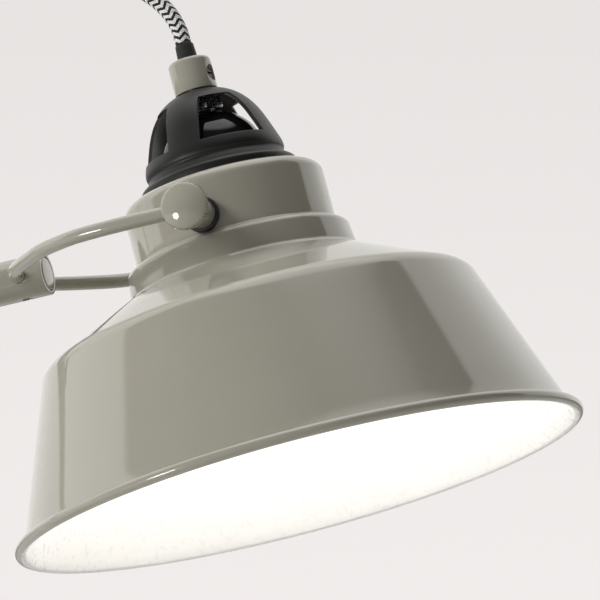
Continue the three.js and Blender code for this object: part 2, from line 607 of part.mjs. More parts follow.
// ---------------------------------------------------------------- cords, in the lamp's own frame
// Head cord: out of the sleeve, over in an arch and down into the upper arm.
const HEAD_ROUTE = [[309.8, 0, 567.9], [308, 0, 573.6], [304.9, 0, 579.1], [300.4, 0, 584.1],
  [294, 0, 588.8], [285.4, 0, 592.7], [274.6, 0, 595.9], [261.2, 0, 597.8], [240, 0, 596.4],
  [220.1, 0, 591.6],
  [201.5, 0, 583.8], [184.7, 0, 573.2], [170.1, 0, 560.1], [158.3, 0, 545], [149.6, 0, 528.3],
  [144.3, 0, 510.4], [142.6, 0, 495.7], [143, 0, 485.8], [144.7, 0, 476.4]];
// Elbow cord: out of the upper arm, round behind the elbow and into the lower arm.
const ELBOW_ROUTE = [[-80.6, 0, 435], [-83.3, 0, 445.7], [-95.1, 0, 460.8], [-113.1, 0, 469.4],
  [-133.4, 0, 470.4],
  [-153.1, 0, 464.3], [-169.1, 0, 450.9], [-179.5, 0, 432.8], [-183.1, 0, 412.3], [-179.5, 0, 391.8],
  [-168.3, 0, 374.4], [-151.6, 0, 362.9], [-135, 0, 360.4], [-121.2, 0, 364.1]];
// Base cord: out of the lower arm's foot and down into the swivel head.
const BASE_ROUTE = [[-29.5, 0, 112.2], [-40, 0, 107.5], [-49, 0, 100.5], [-55.5, 0, 91], [-58.5, 0, 80],
  [-58, 0, 68.5], [-53.5, 0, 57.5], [-45.5, 0, 48.8], [-34.5, 0, 43.2], [-19.5, 0, 41.5]];

function makeCordLoops() {
  piece(lamp, 'head_cord', bar(HEAD_ROUTE, CORD_R, 26, 8), CLOTH);
  piece(lamp, 'elbow_cord', bar(ELBOW_ROUTE, CORD_R, 18, 8), CLOTH);
  piece(lamp, 'base_cord', bar(BASE_ROUTE, CORD_R, 12, 8), CLOTH);
}

// ---------------------------------------------------------------- mains lead, stored behind the base
const SWITCH_AT = [-172, -61];
const SWITCH_SIZE = [26, 58, 17.5];
const SWITCH_SEAM_Z = 7;
const ROCKER_SIZE = [9, 19];
const ROCKER_FOOT_Z = 11;
const COIL_AT = [-190, 54];
const COIL_R = 35.2;                             // middle of the turns
const COIL_TURNS_WIDE = 3;
const COIL_LAYERS = 2;
const COIL_LOW = 1.5;
const CORD_D = 2 * CORD_R;
const COIL_IN = COIL_R - COIL_TURNS_WIDE * CORD_R;
const COIL_OUT = COIL_R + COIL_TURNS_WIDE * CORD_R;
const COIL_HIGH = COIL_LOW + COIL_LAYERS * CORD_D;
const PLUG_START = [-146, COIL_AT[1] + COIL_R + CORD_D];
const PLUG_Z = 7.1;
const PLUG_PIN_R = 2;
const PLUG_PIN_PITCH = 19;

// Out of the gland, through the switch, round and into the coil's outer turn.
const LEAD_ROUTE = [[-124.6, 0, 9.5], [-133, 0, 8.9], [-141, -1, 6], [-151, -4.5, 3.9], [-161, -11, 3.7],
  [-168.5, -20, 5.4], [-171.6, -30, 6.9], [-172, -40, 7], [-172, -61, 7], [-172, -82, 7], [-172.4, -92, 6.8],
  [-175.5, -103, 4.6], [-183.5, -112.5, 3.3], [-195, -117.5, 3.3], [-208, -116, 3.3], [-219.5, -108, 3.3],
  [-227.5, -95, 3.3], [-231.2, -79, 3.3], [-232, -61, 3.3], [-231.8, -41, 3.3], [-231.5, -20, 3.3],
  [-231.4, 0, 3.4],
  [-231.4, 15, 3.8], [-231.4, 30.2, 4.4]];
// Off the coil's upper turn and down to the plug.
const TAIL_ROUTE = [[-185.5, 101.8, 4.5], [-180, 101.5, 4.4], [-168, 99, 5], [-157, 96.2, 6.4],
  [-150.5, 95.4, 7], [-146.8, 95.4, PLUG_Z]];

function makeSwitch() {
  const [x, y] = SWITCH_AT;
  const [wide, long, high] = SWITCH_SIZE;
  const corner = 5;
  const outline = rounded([[-wide / 2, 0], [-wide / 2, -long / 2, corner], [wide / 2, -long / 2, corner],
    [wide / 2, long / 2, corner], [-wide / 2, long / 2, corner], [-wide / 2, 0]]).slice(1);
  const channel = rodY(CORD_R + 2 * RUN, -long, long, 12).translate(0, 0, SWITCH_SEAM_Z);
  const lower = cut(prism(outline, 0.2, SWITCH_SEAM_Z - GAP / 2), channel);
  piece(lamp, 'switch_base', lower.translate(x, y, 0), BLACK_SATIN);

  const [rockerWide, rockerLong] = ROCKER_SIZE;
  const well = box([-rockerWide / 2 - RUN, -rockerLong / 2 - 1, ROCKER_FOOT_Z - 0.4],
    [rockerWide / 2 + RUN, rockerLong / 2 + 1, high + 1]);
  const upper = cut(prism(outline, SWITCH_SEAM_Z + GAP / 2, high), channel, well);
  piece(lamp, 'switch_cover', upper.translate(x, y, 0), BLACK_SATIN);

  const dip = 1.2;
  const side = [[-rockerLong / 2, high - 0.4], [-rockerLong / 2, ROCKER_FOOT_Z + 2.2], [0, ROCKER_FOOT_Z],
    [rockerLong / 2, ROCKER_FOOT_Z + 2.2], [rockerLong / 2, high - 0.4], [rockerLong / 2 - 1, high + 1.2],
    [0, high + 1.2 - dip], [-rockerLong / 2 + 1, high + 1.2]];
  const rocker = prism(side, -rockerWide / 2, rockerWide / 2)
    .rotateX(Math.PI / 2)
    .rotateZ(Math.PI / 2)
    .translate(x, y, 0);
  piece(lamp, 'switch_rocker', rocker, BLACK_GLOSS);
}

function makePlug() {
  const [x, y] = PLUG_START;
  const relief = turned([[0, 0], [CORD_R + 0.6, 0], [5.2, 22], [0, 22]], 16).rotateY(Math.PI / 2);
  const half = 6.8;
  const side = [[21, 5.5], [27, 9], [34, 13], [49, 13], [56, 9.5]];
  const outline = [...side.map(([along, out]) => [along, -out]), ...[...side].reverse()];
  const holes = [-1, 1].map((hand) => rodX(PLUG_PIN_R + RUN, 46, 60, 16)
    .translate(0, hand * PLUG_PIN_PITCH / 2, 0));
  const body = cut(join(relief, prism(outline, -half, half)), ...holes);
  piece(lamp, 'plug_body', body.translate(x, y, PLUG_Z), BLACK_SATIN);
  for (const [hand, label] of [[-1, 'a'], [1, 'b']]) {
    const pin = rodX(PLUG_PIN_R, 46.3, 75, 16).translate(x, y + hand * PLUG_PIN_PITCH / 2, PLUG_Z);
    piece(lamp, `plug_pin_${label}`, pin, BRASS);
  }
}

function makeLead() {
  piece(lamp, 'mains_cord', bar(LEAD_ROUTE, CORD_R, 40, 8), CLOTH);
  piece(lamp, 'mains_cord_tail', bar(TAIL_ROUTE, CORD_R, 4, 8), CLOTH);
  const coil = washer(COIL_OUT, COIL_IN, COIL_LOW, COIL_HIGH, 28).translate(...COIL_AT, 0);
  piece(lamp, 'cord_coil', coil, CLOTH);
  const strap = 0.9;
  const slack = 0.5;
  const [bandIn, bandOut] = [COIL_IN - slack, COIL_OUT + GAP];
  const [bandLow, bandHigh] = [COIL_LOW - GAP, COIL_HIGH + GAP];
  const band = cut(
    box([bandIn - strap, -4, bandLow - strap], [bandOut + strap, 4, bandHigh + strap]),
    box([bandIn, -5, bandLow], [bandOut, 5, bandHigh]),
  );
  piece(lamp, 'coil_tie', band.rotateZ(rad(-40)).translate(...COIL_AT, 0), RUBBER);
  makeSwitch();
  makePlug();
}

makeBase();
makeSwivelHead();
makeLowerArm();
makeUpperArm();
makeShadeHinge();
makeShade();
makeCap();
makeLampholder();
makeBulb();
makeCordLoops();
makeLead();

export default lamp;
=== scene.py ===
import json
import math

import bmesh
import bpy
from mathutils import Matrix, Vector


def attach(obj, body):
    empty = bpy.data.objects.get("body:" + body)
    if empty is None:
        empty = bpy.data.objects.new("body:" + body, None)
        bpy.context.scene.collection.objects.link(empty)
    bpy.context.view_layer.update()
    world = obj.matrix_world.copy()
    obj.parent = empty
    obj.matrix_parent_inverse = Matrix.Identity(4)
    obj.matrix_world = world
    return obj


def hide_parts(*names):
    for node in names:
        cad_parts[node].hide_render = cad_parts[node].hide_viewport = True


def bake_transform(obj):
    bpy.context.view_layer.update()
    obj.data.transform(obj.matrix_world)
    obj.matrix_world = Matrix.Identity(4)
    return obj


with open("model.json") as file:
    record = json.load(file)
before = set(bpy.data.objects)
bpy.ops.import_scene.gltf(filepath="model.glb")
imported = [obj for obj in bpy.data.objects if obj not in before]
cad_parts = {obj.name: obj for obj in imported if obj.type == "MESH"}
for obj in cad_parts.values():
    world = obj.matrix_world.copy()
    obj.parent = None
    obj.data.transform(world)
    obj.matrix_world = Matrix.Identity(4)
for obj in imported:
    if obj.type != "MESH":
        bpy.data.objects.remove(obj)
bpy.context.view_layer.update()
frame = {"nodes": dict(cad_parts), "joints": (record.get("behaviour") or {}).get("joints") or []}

# ---------------------------------------------------------------- camera
# A long lens a little above the table, looking slightly up under the shade's rim, so that only the
# lamp's head is in the frame.
camera_data = bpy.data.cameras.new("camera")
camera_data.sensor_width = 36
camera_data.lens = 288.84
camera_data.clip_end = 50
camera = bpy.data.objects.new("camera", camera_data)
bpy.context.scene.collection.objects.link(camera)
camera_right = Vector((0.96253, 0.27116, -0.00332))
camera_up = Vector((0.03948, -0.12802, 0.99099))
camera.matrix_world = Matrix.Translation((0.8411, -1.7264, 0.2252)) @ Matrix(
    (camera_right, camera_up, camera_right.cross(camera_up))
).transposed().to_4x4()
bpy.context.scene.camera = camera
bpy.context.scene.view_settings.view_transform = "Standard"

# ---------------------------------------------------------------- braided cords
# Round textile flex, 6.2 mm: two cores under a woven cotton sleeve in black and white zigzag.
# Three short loops of it carry the supply over the hinges at the foot, the elbow and the head.
MM = 0.001
CORD_R = 3.1


def smooth_line(points, per_span=6):
    """A smooth line through the given points."""
    p = [Vector(q) for q in points]
    p = [2 * p[0] - p[1], *p, 2 * p[-1] - p[-2]]
    line = []
    for a, b, c, d in zip(p, p[1:], p[2:], p[3:]):
        for k in range(per_span):
            t = k / per_span
            line.append(
                0.5 * (2 * b + (c - a) * t + (2 * a - 5 * b + 4 * c - d) * t**2 + (3 * b - a - 3 * c + d) * t**3)
            )
    return [*line, p[-2]]


def round_bar(name, line, radius, sides=16):
    """A round bar along a line in millimetres. Its UV map is round it, and metres along it."""
    mesh = bpy.data.meshes.new(name)
    verts, faces, along = [], [], [0.0]
    tangent = (line[1] - line[0]).normalized()
    side = tangent.orthogonal().normalized()
    for i, point in enumerate(line):
        ahead = (line[min(i + 1, len(line) - 1)] - line[max(i - 1, 0)]).normalized()
        side = (side - ahead * side.dot(ahead)).normalized()
        other = ahead.cross(side)
        if i:
            along.append(along[-1] + (point - line[i - 1]).length * MM)
        for k in range(sides):
            turn = 2 * math.pi * k / sides
            verts.append((point + (side * math.cos(turn) + other * math.sin(turn)) * radius) * MM)
    for i in range(len(line) - 1):
        for k in range(sides):
            n = (k + 1) % sides
            faces.append((i * sides + k, i * sides + n, (i + 1) * sides + n, (i + 1) * sides + k))
    faces.append(tuple(reversed(range(sides))))
    last = (len(line) - 1) * sides
    faces.append(tuple(range(last, last + sides)))
    mesh.from_pydata(verts, [], faces)
    uv = mesh.uv_layers.new(name="round_and_along")
    for i in range(len(line) - 1):
        for k in range(sides):
            loops = mesh.polygons[i * sides + k].loop_indices
            corners = ((k, i), (k + 1, i), (k + 1, i + 1), (k, i + 1))
            for loop, (around, step) in zip(loops, corners):
                uv.data[loop].uv = (around / sides, along[step])
    for polygon in mesh.polygons[:-2]:
        polygon.use_smooth = True
    obj = bpy.data.objects.new(name, mesh)
    bpy.context.scene.collection.objects.link(obj)
    return obj


def blank_material(name):
    """A material with a Principled shader, and what its nodes are made with."""
    material = bpy.data.materials.new(name)
    material.use_nodes = True
    tree = material.node_tree
    return material, tree, tree.nodes["Principled BSDF"]


def sum_node(tree, operation, first, second=None):
    """One arithmetic node. Its inputs are sockets or numbers."""
    node = tree.nodes.new("ShaderNodeMath")
    node.operation = operation
    for socket, value in zip(node.inputs, (first, second)):
        if isinstance(value, (int, float)):
            socket.default_value = value
        elif value is not None:
            tree.links.new(value, socket)
    return node.outputs[0]


ZIGZAG_PITCH = 0.00275
YARN_PITCH = 0.00069


def braided_cotton():
    """Zigzag of black and white yarn: four zigzags round the cord, one every 2.75 mm along it, with painted shade
    between the lumps of yarn.
    """
    material, tree, shader = blank_material("braided_cotton")
    uv = tree.nodes.new("ShaderNodeUVMap")
    uv.uv_map = "round_and_along"
    parts = tree.nodes.new("ShaderNodeSeparateXYZ")
    tree.links.new(uv.outputs[0], parts.inputs[0])
    around, metres = parts.outputs[0], parts.outputs[1]
    wave = sum_node(tree, "PINGPONG", sum_node(tree, "MULTIPLY", around, 8), 1)
    rows = sum_node(tree, "MULTIPLY", metres, 1 / ZIGZAG_PITCH)
    along = sum_node(tree, "ADD", rows, sum_node(tree, "MULTIPLY", wave, 0.62))
    band = sum_node(tree, "FRACT", along)
    white = sum_node(tree, "GREATER_THAN", band, 0.48)
    # the two directions of yarn, a row of small lumps each way. The lumps make the bump, and they also darken the
    # colour a little between them, which is painted shade in the weave
    strand = sum_node(tree, "MULTIPLY", metres, 1 / YARN_PITCH)
    crossing = sum_node(tree, "MULTIPLY", around, 16)
    lump_a, lump_b = [
        sum_node(tree, "SINE", sum_node(tree, "MULTIPLY", sum_node(tree, way, strand, crossing), math.pi))
        for way in ("ADD", "SUBTRACT")
    ]
    lumps = sum_node(tree, "MULTIPLY", lump_a, lump_b)
    # painted shade: the yarn's colour is darkened between its lumps
    painted_weave_shade = sum_node(tree, "MULTIPLY_ADD", lumps, 0.1)
    tree.nodes[-1].inputs[2].default_value = 0.92
    fuzz = tree.nodes.new("ShaderNodeTexNoise")
    fuzz.inputs["Scale"].default_value = 1800
    coord = tree.nodes.new("ShaderNodeTexCoord")
    tree.links.new(coord.outputs["Object"], fuzz.inputs["Vector"])
    yarn = tree.nodes.new("ShaderNodeMix")
    yarn.data_type = "RGBA"
    yarn.inputs["A"].default_value = (0.01, 0.01, 0.011, 1)
    yarn.inputs["B"].default_value = (0.95, 0.94, 0.92, 1)
    tree.links.new(white, yarn.inputs["Factor"])
    weave_colour_with_painted_shade = tree.nodes.new("ShaderNodeMix")
    weave_colour_with_painted_shade.data_type = "RGBA"
    weave_colour_with_painted_shade.blend_type = "MULTIPLY"
    weave_colour_with_painted_shade.inputs["Factor"].default_value = 1
    tree.links.new(yarn.outputs["Result"], weave_colour_with_painted_shade.inputs["A"])
    tree.links.new(painted_weave_shade, weave_colour_with_painted_shade.inputs["B"])
    tree.links.new(weave_colour_with_painted_shade.outputs["Result"], shader.inputs["Base Color"])
    bump = tree.nodes.new("ShaderNodeBump")
    bump.inputs["Strength"].default_value = 0.45
    bump.inputs["Distance"].default_value = 0.0003
    nap = sum_node(tree, "MULTIPLY", fuzz.outputs[0], 0.5)
    tree.links.new(sum_node(tree, "ADD", lumps, nap), bump.inputs["Height"])
    tree.links.new(bump.outputs["Normal"], shader.inputs["Normal"])
    shader.inputs["Roughness"].default_value = 0.85
    shader.inputs["Sheen Weight"].default_value = 0.25
    return material


COTTON = braided_cotton()


def lay_cord(name, line, nodes, **facts):
    cord = round_bar(name, line, CORD_R)
    cord.data.materials.append(COTTON)
    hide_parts(*nodes)
    return cord


HEAD_LOOP = [
    (309.8, 0, 567.9), (308, 0, 573.6), (304.9, 0, 579.1), (300.4, 0, 584.1), (294, 0, 588.8),
    (285.4, 0, 592.7), (274.6, 0, 595.9), (261.2, 0, 597.8), (240, 0, 596.4), (220.1, 0, 591.6),
    (201.5, 0, 583.8), (184.7, 0, 573.2), (170.1, 0, 560.1), (158.3, 0, 545), (149.6, 0, 528.3),
    (144.3, 0, 510.4), (142.6, 0, 495.7), (143, 0, 485.8), (144.7, 0, 476.4),
]
ELBOW_LOOP = [
    (-121.2, 0, 364.1), (-135, 0, 360.4), (-151.6, 0, 362.9), (-168.3, 0, 374.4), (-179.5, 0, 391.8),
    (-183.1, 0, 412.3), (-179.5, 0, 432.8), (-169.1, 0, 450.9), (-153.1, 0, 464.3), (-133.4, 0, 470.4),
    (-113.1, 0, 469.4), (-95.1, 0, 460.8), (-83.3, 0, 445.7), (-80.6, 0, 435),
]
FOOT_LOOP = [
    (-19.5, 0, 41.5), (-34.5, 0, 43.2), (-45.5, 0, 48.8), (-53.5, 0, 57.5), (-58, 0, 68.5),
    (-58.5, 0, 80), (-55.5, 0, 91), (-49, 0, 100.5), (-40, 0, 107.5), (-29.5, 0, 112.2),
]
for name, route, node, start_body, end_body in (
    ("head_loop", HEAD_LOOP, "head_cord", "shade", "upper_arm"),
    ("elbow_loop", ELBOW_LOOP, "elbow_cord", "lower_arm", "upper_arm"),
    ("foot_loop", FOOT_LOOP, "base_cord", "swivel", "lower_arm"),
):
    loop = lay_cord(name, smooth_line(route), [node], far_end="object", lay="loose")
    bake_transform(loop)

# ---------------------------------------------------------------- base
# A pressed steel cover over a cast-iron weight, clamped by a nut on the swivel post's stem, on a
# rubber foot pad. The cover and post are stove-enamelled in sage.
GAP = 0.3
BASE_R, BASE_EDGE_Z, BASE_TOP_Z = 100, 15, 23
FOOT_THICK = 2.5
STEM_R, POST_R, POST_TOP_Z, PIN_R = 8, 13, 34, 6
GLAND_Z, GLAND_R = 9.5, 5


def softened(corners, steps=6):
    """Corners [r, z, round] with each one rounded by an arc."""
    line = []
    for i, corner in enumerate(corners):
        r, z, rounding = (*corner, 0)[:3]
        if not rounding or i in (0, len(corners) - 1):
            line.append((r, z))
            continue
        here = Vector((r, z))
        back = (Vector(corners[i - 1][:2]) - here).normalized()
        ahead = (Vector(corners[i + 1][:2]) - here).normalized()
        half = math.acos(max(-1, min(1, back.dot(ahead)))) / 2
        centre = here + (back + ahead).normalized() * (rounding / math.sin(half))
        start = here + back * (rounding / math.tan(half)) - centre
        sweep = math.pi - 2 * half
        turn = 1 if back.x * ahead.y - back.y * ahead.x > 0 else -1
        for k in range(steps + 1):
            a = -turn * sweep * k / steps
            line.append((
                centre.x + start.x * math.cos(a) - start.y * math.sin(a),
                centre.y + start.x * math.sin(a) + start.y * math.cos(a),
            ))
    return line


def crisp_edges(mesh, angle=32):
    """Smooth shading that stops at edges sharper than the angle."""
    work = bmesh.new()
    work.from_mesh(mesh)
    bmesh.ops.recalc_face_normals(work, faces=work.faces)
    for face in work.faces:
        face.smooth = True
    for edge in work.edges:
        edge.smooth = edge.calc_face_angle(0) < math.radians(angle)
    work.to_mesh(mesh)
    work.free()


def turned(name, outline, sides=72, at=None, knurl=None):
    """A closed outline of (radius, height) in millimetres turned about its axis, then placed.
    knurl gives (radius from which the rim is knurled, grooves, depth)."""
    mesh = bpy.data.meshes.new(name)
    verts, faces, rings = [], [], []
    for r, z in outline:
        if r < 1e-6:
            rings.append([len(verts)])
            verts.append((0, 0, z * MM))
            continue
        ring = []
        for k in range(sides):
            a = 2 * math.pi * k / sides
            reach = r
            if knurl and r >= knurl[0]:
                reach = r - knurl[2] * (0.5 + 0.5 * math.cos(knurl[1] * a))
            ring.append(len(verts))
            verts.append((reach * math.cos(a) * MM, reach * math.sin(a) * MM, z * MM))
        rings.append(ring)
    for low, high in zip(rings, rings[1:] + rings[:1]):
        for k in range(sides):
            n = (k + 1) % sides
            corners = [low[k % len(low)], low[n % len(low)], high[n % len(high)], high[k % len(high)]]
            distinct = list(dict.fromkeys(corners))
            if len(distinct) > 2:
                faces.append(distinct)
    mesh.from_pydata(verts, [], faces)
    crisp_edges(mesh)
    if at is not None:
        mesh.transform(at)
    obj = bpy.data.objects.new(name, mesh)
    bpy.context.scene.collection.objects.link(obj)
    return obj


def grain_effect():
    """Shared effect: fine grain in the surface. Value runs from Low to High, Height is for bump."""
    group = bpy.data.node_groups.new("fine_grain", "ShaderNodeTree")
    for label in ("Scale", "Detail", "Low", "High"):
        group.interface.new_socket(name=label, in_out="INPUT", socket_type="NodeSocketFloat")
    for label in ("Value", "Height"):
        group.interface.new_socket(name=label, in_out="OUTPUT", socket_type="NodeSocketFloat")
    into = group.nodes.new("NodeGroupInput")
    out = group.nodes.new("NodeGroupOutput")
    coord = group.nodes.new("ShaderNodeTexCoord")
    noise = group.nodes.new("ShaderNodeTexNoise")
    spread = group.nodes.new("ShaderNodeMapRange")
    group.links.new(coord.outputs["Object"], noise.inputs["Vector"])
    group.links.new(into.outputs["Scale"], noise.inputs["Scale"])
    group.links.new(into.outputs["Detail"], noise.inputs["Detail"])
    group.links.new(noise.outputs[0], spread.inputs["Value"])
    spread.inputs["From Min"].default_value = 0.3
    spread.inputs["From Max"].default_value = 0.7
    group.links.new(into.outputs["Low"], spread.inputs["To Min"])
    group.links.new(into.outputs["High"], spread.inputs["To Max"])
    group.links.new(spread.outputs["Result"], out.inputs["Value"])
    group.links.new(noise.outputs[0], out.inputs["Height"])
    return group


FINE_GRAIN = grain_effect()


def finish_with_grain(name, colour, roughness, grain, bump, tint=0.05, blotch=18, metallic=0.0, coat=0.0):
    """A finish whose colour drifts a little over the piece and whose grain breaks up its gloss.
    roughness is (smoothest, roughest); grain is per metre; bump is (strength, metres)."""
    material, tree, shader = blank_material(name)
    drift = tree.nodes.new("ShaderNodeGroup")
    drift.node_tree = FINE_GRAIN
    for label, value in zip(("Scale", "Detail", "Low", "High"), (blotch, 3, 0, 1)):
        drift.inputs[label].default_value = value
    mix = tree.nodes.new("ShaderNodeMix")
    mix.data_type = "RGBA"
    mix.inputs["A"].default_value = (*[c * (1 - tint) for c in colour], 1)
    mix.inputs["B"].default_value = (*[min(1, c * (1 + tint)) for c in colour], 1)
    tree.links.new(drift.outputs["Value"], mix.inputs["Factor"])
    tree.links.new(mix.outputs["Result"], shader.inputs["Base Color"])
    fine = tree.nodes.new("ShaderNodeGroup")
    fine.node_tree = FINE_GRAIN
    for label, value in zip(("Scale", "Detail", "Low", "High"), (grain, 4, *roughness)):
        fine.inputs[label].default_value = value
    tree.links.new(fine.outputs["Value"], shader.inputs["Roughness"])
    rise = tree.nodes.new("ShaderNodeBump")
    rise.inputs["Strength"].default_value = bump[0]
    rise.inputs["Distance"].default_value = bump[1]
    tree.links.new(fine.outputs["Height"], rise.inputs["Height"])
    tree.links.new(rise.outputs["Normal"], shader.inputs["Normal"])
    shader.inputs["Metallic"].default_value = metallic
    shader.inputs["Coat Weight"].default_value = coat
    shader.inputs["Coat Roughness"].default_value = 0.04
    return material


SAGE = finish_with_grain("sage_enamel", (0.355, 0.343, 0.285), (0.05, 0.085), 420, (0.02, 0.0002), tint=0.02, coat=0.5)
RUBBER = finish_with_grain("black_rubber", (0.02, 0.02, 0.02), (0.55, 0.75), 1400, (0.25, 0.0001))
IRON = finish_with_grain("cast_iron", (0.09, 0.088, 0.085), (0.5, 0.75), 700, (0.6, 0.0004), metallic=0.8)
ZINC = finish_with_grain("zinc_plate", (0.76, 0.78, 0.8), (0.18, 0.34), 900, (0.08, 0.0001), metallic=1)


def fit(obj, finish, body, nodes):
    """Gives a new piece its finish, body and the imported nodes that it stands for."""
    obj.data.materials.append(finish)
    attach(obj, body)
    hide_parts(*nodes)
    return obj


def paint_node(node, finish):
    """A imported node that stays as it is, in its finish."""
    mesh = frame["nodes"][node].data
    mesh.materials.clear()
    mesh.materials.append(finish)


cover_line = softened([
    [STEM_R + GAP, BASE_TOP_Z], [POST_R + 8, BASE_TOP_Z, 30], [BASE_R - 12, BASE_EDGE_Z + 3.2, 14],
    [BASE_R, BASE_EDGE_Z - 5, 7], [BASE_R, FOOT_THICK + GAP],
], 10)
inside_line = [(max(STEM_R + GAP, r - 1.2), max(FOOT_THICK + GAP, z - 1.2)) for r, z in cover_line]
fit(turned("base_shell", cover_line + inside_line[::-1], 128), SAGE, "base", ["base_cover"])
foot_rings = [(0, 0)]
for k in range(5):
    r = 38 + 12 * k
    foot_rings += [(r, 0), (r + 0.8, 0.7), (r + 3, 0.7), (r + 3.8, 0)]
foot_edge = softened([[95, 0], [97.5, 0, 0.8], [97.5, FOOT_THICK, 0.6], [60, FOOT_THICK]], 4)
foot = [*foot_rings, *foot_edge, (0, FOOT_THICK)]
fit(turned("foot_tread", foot, 96), RUBBER, "base", ["foot_pad"])
paint_node("base_weight", IRON)
paint_node("post_nut", ZINC)
post = softened([
    [0, FOOT_THICK + 1.3], [STEM_R, FOOT_THICK + 1.3], [STEM_R, BASE_TOP_Z + GAP], [POST_R, BASE_TOP_Z + GAP, 0.5],
    [POST_R, POST_TOP_Z - 2, 1], [POST_R - 2, POST_TOP_Z], [PIN_R, POST_TOP_Z], [PIN_R, POST_TOP_Z + 12, 0.6],
    [0, POST_TOP_Z + 12],
])
fit(turned("swivel_column", post), SAGE, "base", ["swivel_post"])
ribs = [[0, 0], [GLAND_R, 0], [GLAND_R, 6], [GLAND_R + 2, 6.3, 0.6], [GLAND_R + 2, 8.3, 0.6], [GLAND_R, 9, 0.5]]
for k in range(6):
    z, r = 11.5 + 3 * k, GLAND_R - 0.21 * k
    ribs += [[r, z, 0.2], [r - 0.7, z + 0.4, 0.2], [r - 0.75, z + 1.1, 0.2], [r - 0.15, z + 1.5, 0.2]]
ribs += [[CORD_R + 0.5, 30, 0.3], [0, 30]]
to_back = Matrix.Translation((-(BASE_R - 6) * MM, 0, GLAND_Z * MM)) @ Matrix.Rotation(math.radians(-90), 4, "Y")
lead_gland = fit(turned("lead_gland", softened(ribs, 3), 40, to_back), RUBBER, "base", ["base_gland"])

# ---------------------------------------------------------------- friction hinges of the arms
# Machined forks and tongues in sage, with a rubber friction washer on each side of the tongue, a
# zinc bolt across and a knurled knob that clamps them.
joints = {joint["name"]: joint for joint in frame["joints"]}
LOWER_LEAN, UPPER_RISE, SHADE_LEAN = (math.radians(a) for a in (20, 10.4, 15))
TUBE_R, BORE_R = 8.3, 6.9
TONGUE_THICK, PAD, TONGUE_R, BOLT_R, EAR_R = 9, 1.5, 9.5, 3, 11
SLOT_HALF = TONGUE_THICK / 2 + PAD + 2 * GAP
EAR_FACE = SLOT_HALF + 4
COLLAR, COLLAR_END, SPIGOT_END = 24, 27, 39.3
KNOB_R, KNOB_THICK, KNOB_DOME_R, KNOB_BORE_DEPTH = 9, 5.5, 17.5, 4.4
FINE = 48


def axes(origin, x_axis, z_axis):
    """The frame with this origin, x axis and z axis, as a matrix."""
    x_axis, z_axis = Vector(x_axis), Vector(z_axis)
    turn = Matrix((x_axis, z_axis.cross(x_axis), z_axis)).transposed().to_4x4()
    return Matrix.Translation(origin) @ turn


def solid_box(low, high):
    """A plain block to cut or weld with, in millimetres."""
    mesh = bpy.data.meshes.new("block")
    work = bmesh.new()
    bmesh.ops.create_cube(work, size=1)
    for vert in work.verts:
        vert.co = Vector([(l + h) / 2 + c * (h - l) for c, l, h in zip(vert.co, low, high)]) * MM
    work.to_mesh(mesh)
    work.free()
    obj = bpy.data.objects.new("block", mesh)
    bpy.context.scene.collection.objects.link(obj)
    return obj


def solid_rod(radius, low, high, at=Matrix(), sides=FINE):
    return turned("rod", [(0, low), (radius, low), (radius, high), (0, high)], sides, at)


ACROSS = Matrix.Rotation(math.radians(-90), 4, "X")


def shape(obj, operation, tools):
    """Cuts or welds the tools and leaves one mesh."""
    for tool in tools:
        step = obj.modifiers.new("shape", "BOOLEAN")
        step.object = tool
        step.operation = operation
        step.solver = "EXACT"
    done = bpy.data.meshes.new_from_object(obj.evaluated_get(bpy.context.evaluated_depsgraph_get()))
    obj.modifiers.clear()
    obj.data = done
    for tool in tools:
        bpy.data.objects.remove(tool)
    return obj


def cut(obj, *tools):
    return shape(obj, "DIFFERENCE", tools)


def weld(obj, *tools):
    return shape(obj, "UNION", tools)


def eased(obj, width=0.5, at=None):
    """Breaks the sharp edges, as a machined piece has them, and places it."""
    step = obj.modifiers.new("ease", "BEVEL")
    step.width = width * MM
    step.segments = 2
    step.limit_method = "ANGLE"
    step.angle_limit = math.radians(40)
    step.harden_normals = False
    obj.data = bpy.data.meshes.new_from_object(obj.evaluated_get(bpy.context.evaluated_depsgraph_get()))
    obj.modifiers.clear()
    crisp_edges(obj.data)
    if at is not None:
        obj.data.transform(at)
    return obj


def fork(name, stem):
    """Hinge axis at the origin along Y, stem down."""
    cheeks = solid_box((-EAR_R, -EAR_FACE, -COLLAR), (EAR_R, EAR_FACE, 0))
    body = weld(solid_rod(EAR_R, -EAR_FACE, EAR_FACE, ACROSS), cheeks, stem)
    slot = solid_box((-EAR_R - 1, -SLOT_HALF, -14), (EAR_R + 1, SLOT_HALF, EAR_R + 1))
    body = cut(body, slot, solid_rod(BOLT_R + GAP, -20, 20, ACROSS))
    body.name = name
    return body


def tongue(name):
    """Hinge axis at the origin along Y, spigot down."""
    half = TONGUE_THICK / 2
    body = weld(
        solid_rod(TONGUE_R, -half, half, ACROSS),
        solid_box((-5.5, -half, -COLLAR - 1), (5.5, half, 0)),
        solid_rod(TUBE_R, -COLLAR_END, -COLLAR),
        solid_rod(BORE_R - GAP, -SPIGOT_END, -COLLAR - 1),
    )
    body = cut(body, solid_rod(BOLT_R + GAP, -10, 10, ACROSS))
    body.name = name
    return body


def tube_stem():
    return weld(solid_rod(TUBE_R, -COLLAR_END, -COLLAR + 1), solid_rod(BORE_R - GAP, -SPIGOT_END, -COLLAR))


